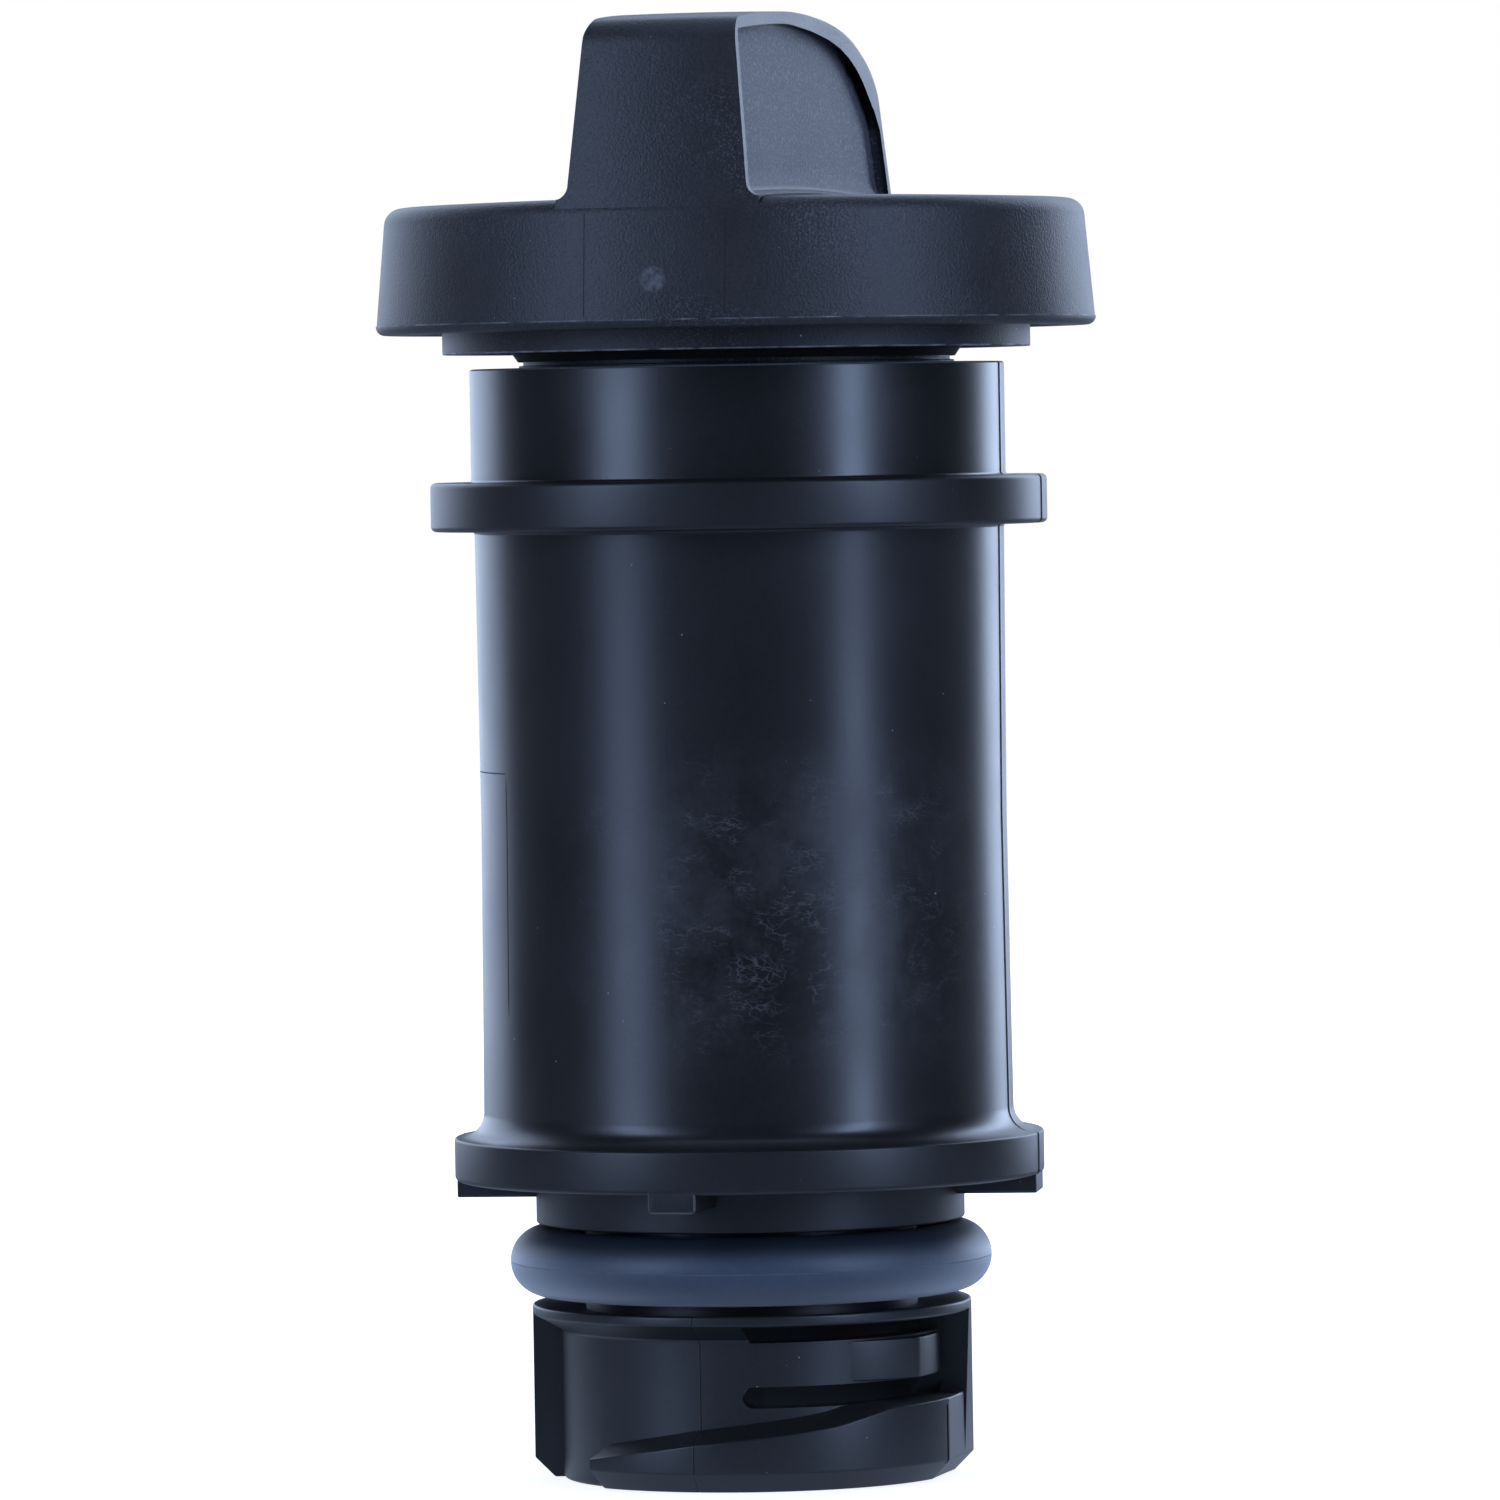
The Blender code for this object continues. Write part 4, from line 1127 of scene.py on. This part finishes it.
def flared_bar(half_width, fillet):
    """A bar along Y with drafted sides that flare into the disc's crowned top."""
    taper = math.tan(math.radians(TAB_DRAFT))
    top = TAB_TOP + TOOL_REACH
    reach = DISC_RADIUS + TOOL_REACH
    toe = half_width - fillet * taper + fillet
    level = DISC_TOP + DISC_CROWN + fillet
    half = [(toe, CEILING)]
    for i in range(FLARE_STEPS + 1):
        around = math.pi * (1.5 - i / FLARE_STEPS / 2)
        half.append((toe + fillet * math.cos(around), level + fillet * math.sin(around)))
    half.append((half_width - (top - DISC_TOP) * taper, top))
    shape = bmesh.new()
    corners = [shape.verts.new((x, -reach, z)) for x, z in half + [(-x, z) for x, z in reversed(half)]]
    bmesh.ops.contextual_create(shape, geom=corners)
    grown = bmesh.ops.extrude_face_region(shape, geom=shape.faces[:])["geom"]
    moved = [item for item in grown if isinstance(item, bmesh.types.BMVert)]
    bmesh.ops.translate(shape, verts=moved, vec=(0, 2 * reach, 0))
    lengthwise = [e for e in shape.edges if abs(e.verts[0].co.y - e.verts[1].co.y) > reach]
    bmesh.ops.subdivide_edges(shape, edges=lengthwise, cuts=BAR_CUTS, use_grid_fill=True)
    bmesh.ops.recalc_face_normals(shape, faces=shape.faces)
    for vert in shape.verts:
        vert.co.z -= DISC_CROWN - disc_crown(abs(vert.co.y))
    return shape


def soft_corner(stations, inset, wider):
    """What is cut off an upper corner of the tab, by (distance along the tab, width, depth) stations."""
    shape = bmesh.new()
    reach = DISC_RADIUS + TOOL_REACH
    first = stations[0][0]
    taper = math.tan(math.radians(TAB_DRAFT))
    loops = []
    for i in range(CORNER_SLICES + 1):
        along = first + (reach - first) * i / CORNER_SLICES
        across = between([(y, wide) for y, wide, _ in stations], along) + wider
        drop = between([(y, deep) for y, _, deep in stations], along)
        top = TAB_TOP - TAB_CROWN * (along / DISC_TOP_RADIUS) ** 2 - inset
        side = TAB_BASE_WIDTH / 2 - (top - drop - DISC_TOP) * taper
        section = [(side + CORNER_CLEARANCE, top + CORNER_CLEARANCE), (side + CORNER_CLEARANCE, top - drop)]
        for step in range(CORNER_STEPS + 1):
            around = math.pi / 2 * step / CORNER_STEPS
            section.append((side - across + across * math.cos(around), top - drop + drop * math.sin(around)))
        section.append((side - across, top + CORNER_CLEARANCE))
        loop = [shape.verts.new((x, along - inset, z)) for x, z in section]
        loops.append([shape.edges.new((loop[i], loop[(i + 1) % len(loop)])) for i in range(len(loop))])
    for near, far in zip(loops, loops[1:]):
        bmesh.ops.bridge_loops(shape, edges=near + far)
    for open_end in (loops[0], loops[-1]):
        bmesh.ops.contextual_create(shape, geom=open_end)
    bmesh.ops.recalc_face_normals(shape, faces=shape.faces)
    return shape


dome_bottom = DISC_SHOULDER - TOOL_REACH / 2
tab = combined(
    "tab",
    flared_bar(TAB_BASE_WIDTH / 2, TAB_FILLET),
    [
        ("INTERSECT", dome(0, TAB_CORNER, dome_bottom)),
        ("DIFFERENCE", soft_corner(FAR_CORNER, 0, 0)),
        ("DIFFERENCE", turned_by(soft_corner(NEAR_CORNER, 0, 0), 180)),
    ],
)
pockets = combined(
    "pockets",
    dome(POCKET_RIM, POCKET_CORNER, dome_bottom - TOOL_REACH),
    [
        ("DIFFERENCE", flared_bar(TAB_BASE_WIDTH / 2 - POCKET_DEPTH, POCKET_FILLET)),
        ("DIFFERENCE", soft_corner(FAR_CORNER, POCKET_RIM, POCKET_WIDER)),
        ("DIFFERENCE", turned_by(soft_corner(NEAR_CORNER, POCKET_RIM, POCKET_WIDER), 180)),
    ],
)


def tab_core():
    """The hollow inside the tab, open to the stem."""
    shape = bmesh.new()
    bmesh.ops.create_cube(shape, size=1)
    low = CEILING - TOOL_REACH
    bmesh.ops.scale(shape, verts=shape.verts, vec=(TAB_CORE_WIDTH, TAB_CORE_LENGTH, TAB_CORE_TOP - low))
    bmesh.ops.translate(shape, verts=shape.verts, vec=(0, 0, (TAB_CORE_TOP + low) / 2))
    rounded(shape, shape.edges[:], TAB_CORE_ROUND)
    return shape


def lug():
    """A lug on the stem, whose top follows the ledge above it."""
    section = band(STEM_RADIUS - TOOL_REACH, LUG_REACH, LUG_BOTTOM, LUG_TOP, LUG_ROUND)
    shape = arc_block(section, LUG_REST_ANGLE - LUG_SPAN / 2, LUG_REST_ANGLE + LUG_SPAN / 2)
    for vert in shape.verts:
        if vert.co.z > (LUG_BOTTOM + LUG_TOP) / 2:
            vert.co.z += LEDGE_PITCH * (angle_of(vert.co) - LUG_REST_ANGLE)
    return shape


cap_tools = [("UNION", combined("tab", tab, [("DIFFERENCE", pockets)])), ("DIFFERENCE", tab_core())]
cap_tools += [("UNION", turned_by(lug(), half)) for half in (0, 180)]
for i in range(DISC_RIBS):
    rib_angle = 360 * (i + 0.5) / DISC_RIBS
    rib = bar(rib_angle, DISC_RIB_WIDTH, DISC_RIB_START, DISC_RIB_END, DISC_RIB_BOTTOM, CEILING + TOOL_REACH)
    cap_tools.append(("UNION", rib))


# Where the cap's skin changes, and the finish there
POCKET_DEPTHS = (0.3, 3, 0.3)
POCKET_END_MARGIN = (0.9, 30, 0.3)
POCKET_HEIGHTS = (103, 116.5, 0.5)
POCKET_FINISH = ((0.044, 0.050, 0.072), 0.72)
POCKET_FLECKS = (4200, 1)
POCKET_FLECK_FINISH = ((0.115, 0.125, 0.160), 0.7)
CUT_CORNER_AREA = {"X": (1, 10, 0.3), "Y": (18.5, 29, 0.5), "Z": (113, 119, 0.3)}
CAP_FLECKS = (5200, 0.52)
CAP_FLECK_FINISH = ((0.050, 0.054, 0.066), 0.6)
WITNESS_AREA = {"Radius": (28, 30, 0.2), "Z": (93.2, 101.6, 0.3)}
WITNESS_LINE = (5.6, 5.72, 0.05)
WITNESS_FINISH = ((0.002, 0.002, 0.003), 0.8)
# The disc's parting line and the skirt's bottom edge carry flash painted light, a painted highlight along
# their thin edges
DISC_FLASH_HIGHLIGHT_AREA = {"Radius": (28.7, 30, 0.1), "Z": (92.98, 93.14, 0.06)}
DISC_FLASH_HIGHLIGHT_FINISH = ((0.13, 0.14, 0.165), 0.5)
SKIRT_FLASH_HIGHLIGHT_AREA = {"Radius": (23.5, 24, 0.05), "Z": (90, 90.88, 0.06)}
SKIRT_FLASH_HIGHLIGHT_FINISH = ((0.22, 0.24, 0.28), 0.5)
FLASH_HIGHLIGHT_PATCH_SCALE = 420
FLASH_HIGHLIGHT_PATCHES = (4, -1.6)
GATE_HEIGHT = 96.2 * MM
GATE_RADII = (-1, 1.45, 0.2)
GATE_AREA = {"Y": (-31, -26, 0.1)}
GATE_GRAIN_SCALE = 1600
GATE_RAGGED = 0.7
GATE_CONTRAST = (3, -0.9)
GATE_FINISH = ((0.085, 0.092, 0.11), 0.7)
CAP_DUST = (520, 0.034, 60)


def patchy_line(tree, place, area):
    """A line of flash painted light, a painted highlight along its edge, broken up by a noise."""
    patches = sharpened(tree, noise(tree, position(tree), FLASH_HIGHLIGHT_PATCH_SCALE, 4), *FLASH_HIGHLIGHT_PATCHES)
    return both(tree, region(tree, place, area), patches)


def pocket_mask(tree, place, out):
    """Where the surface lies sunk behind the tab's drafted side, short of its ends and its cut corner."""
    above = math_node(tree, "SUBTRACT", place["Z"], DISC_TOP / MM)
    taper, end_taper = math.tan(math.radians(TAB_DRAFT)), math.tan(math.radians(TAB_END_DRAFT))
    side = math_node(tree, "MULTIPLY_ADD", above, -taper, TAB_BASE_WIDTH / MM / 2)
    end = math_node(tree, "MULTIPLY_ADD", above, -end_taper, DISC_TOP_RADIUS / MM)
    return both(
        tree,
        span(tree, math_node(tree, "SUBTRACT", side, out), *POCKET_DEPTHS),
        span(tree, math_node(tree, "SUBTRACT", end, place["Radius"]), *POCKET_END_MARGIN),
        span(tree, place["Z"], *POCKET_HEIGHTS),
        math_node(tree, "SUBTRACT", 1, region(tree, place, CUT_CORNER_AREA)),
    )


def gate_mask(tree, place, out):
    """A ragged round spot in front, where the plastic ran into the mould."""
    rough = noise(tree, position(tree), GATE_GRAIN_SCALE, 2)
    up = math_node(tree, "SUBTRACT", place["Z"], GATE_HEIGHT / MM)
    squared = math_node(tree, "MULTIPLY_ADD", up, up, math_node(tree, "POWER", out, 2))
    ragged = math_node(tree, "MULTIPLY_ADD", rough, GATE_RAGGED, math_node(tree, "SQRT", squared))
    spot = both(tree, span(tree, ragged, *GATE_RADII), region(tree, place, GATE_AREA))
    return both(tree, spot, sharpened(tree, rough, *GATE_CONTRAST))


def cap_layers(tree, place):
    """Rough finger pockets, witness lines of a mould insert, the gate's mark, flash painted light as a
    painted highlight, and light specks.
    """
    out = math_node(tree, "ABSOLUTE", place["X"])
    pocket = pocket_mask(tree, place, out)
    yield pocket, POCKET_FINISH
    yield both(tree, pocket, flecks(tree, *POCKET_FLECKS)), POCKET_FLECK_FINISH
    yield flecks(tree, *CAP_FLECKS), CAP_FLECK_FINISH
    yield both(tree, region(tree, place, WITNESS_AREA), span(tree, out, *WITNESS_LINE)), WITNESS_FINISH
    # Flash lines, painted light as a painted highlight along their edges
    yield patchy_line(tree, place, DISC_FLASH_HIGHLIGHT_AREA), DISC_FLASH_HIGHLIGHT_FINISH
    yield patchy_line(tree, place, SKIRT_FLASH_HIGHLIGHT_AREA), SKIRT_FLASH_HIGHLIGHT_FINISH
    yield gate_mask(tree, place, out), GATE_FINISH
    yield specks(tree, *CAP_DUST), DUST_FINISH


cap_plastic = moulded_material(
    "Cap plastic",
    colour=(0.0065, 0.0067, 0.0082),
    pale=(0.0195, 0.0203, 0.0248),
    roughness=0.50,
    grain_scale=4600,
    grain_depth=0.05 * MM,
    layers=cap_layers,
)
cap = combined("moulded_cap", cap, cap_tools)
finished("moulded_cap", cap, "cap", "cap_body", cap_plastic)
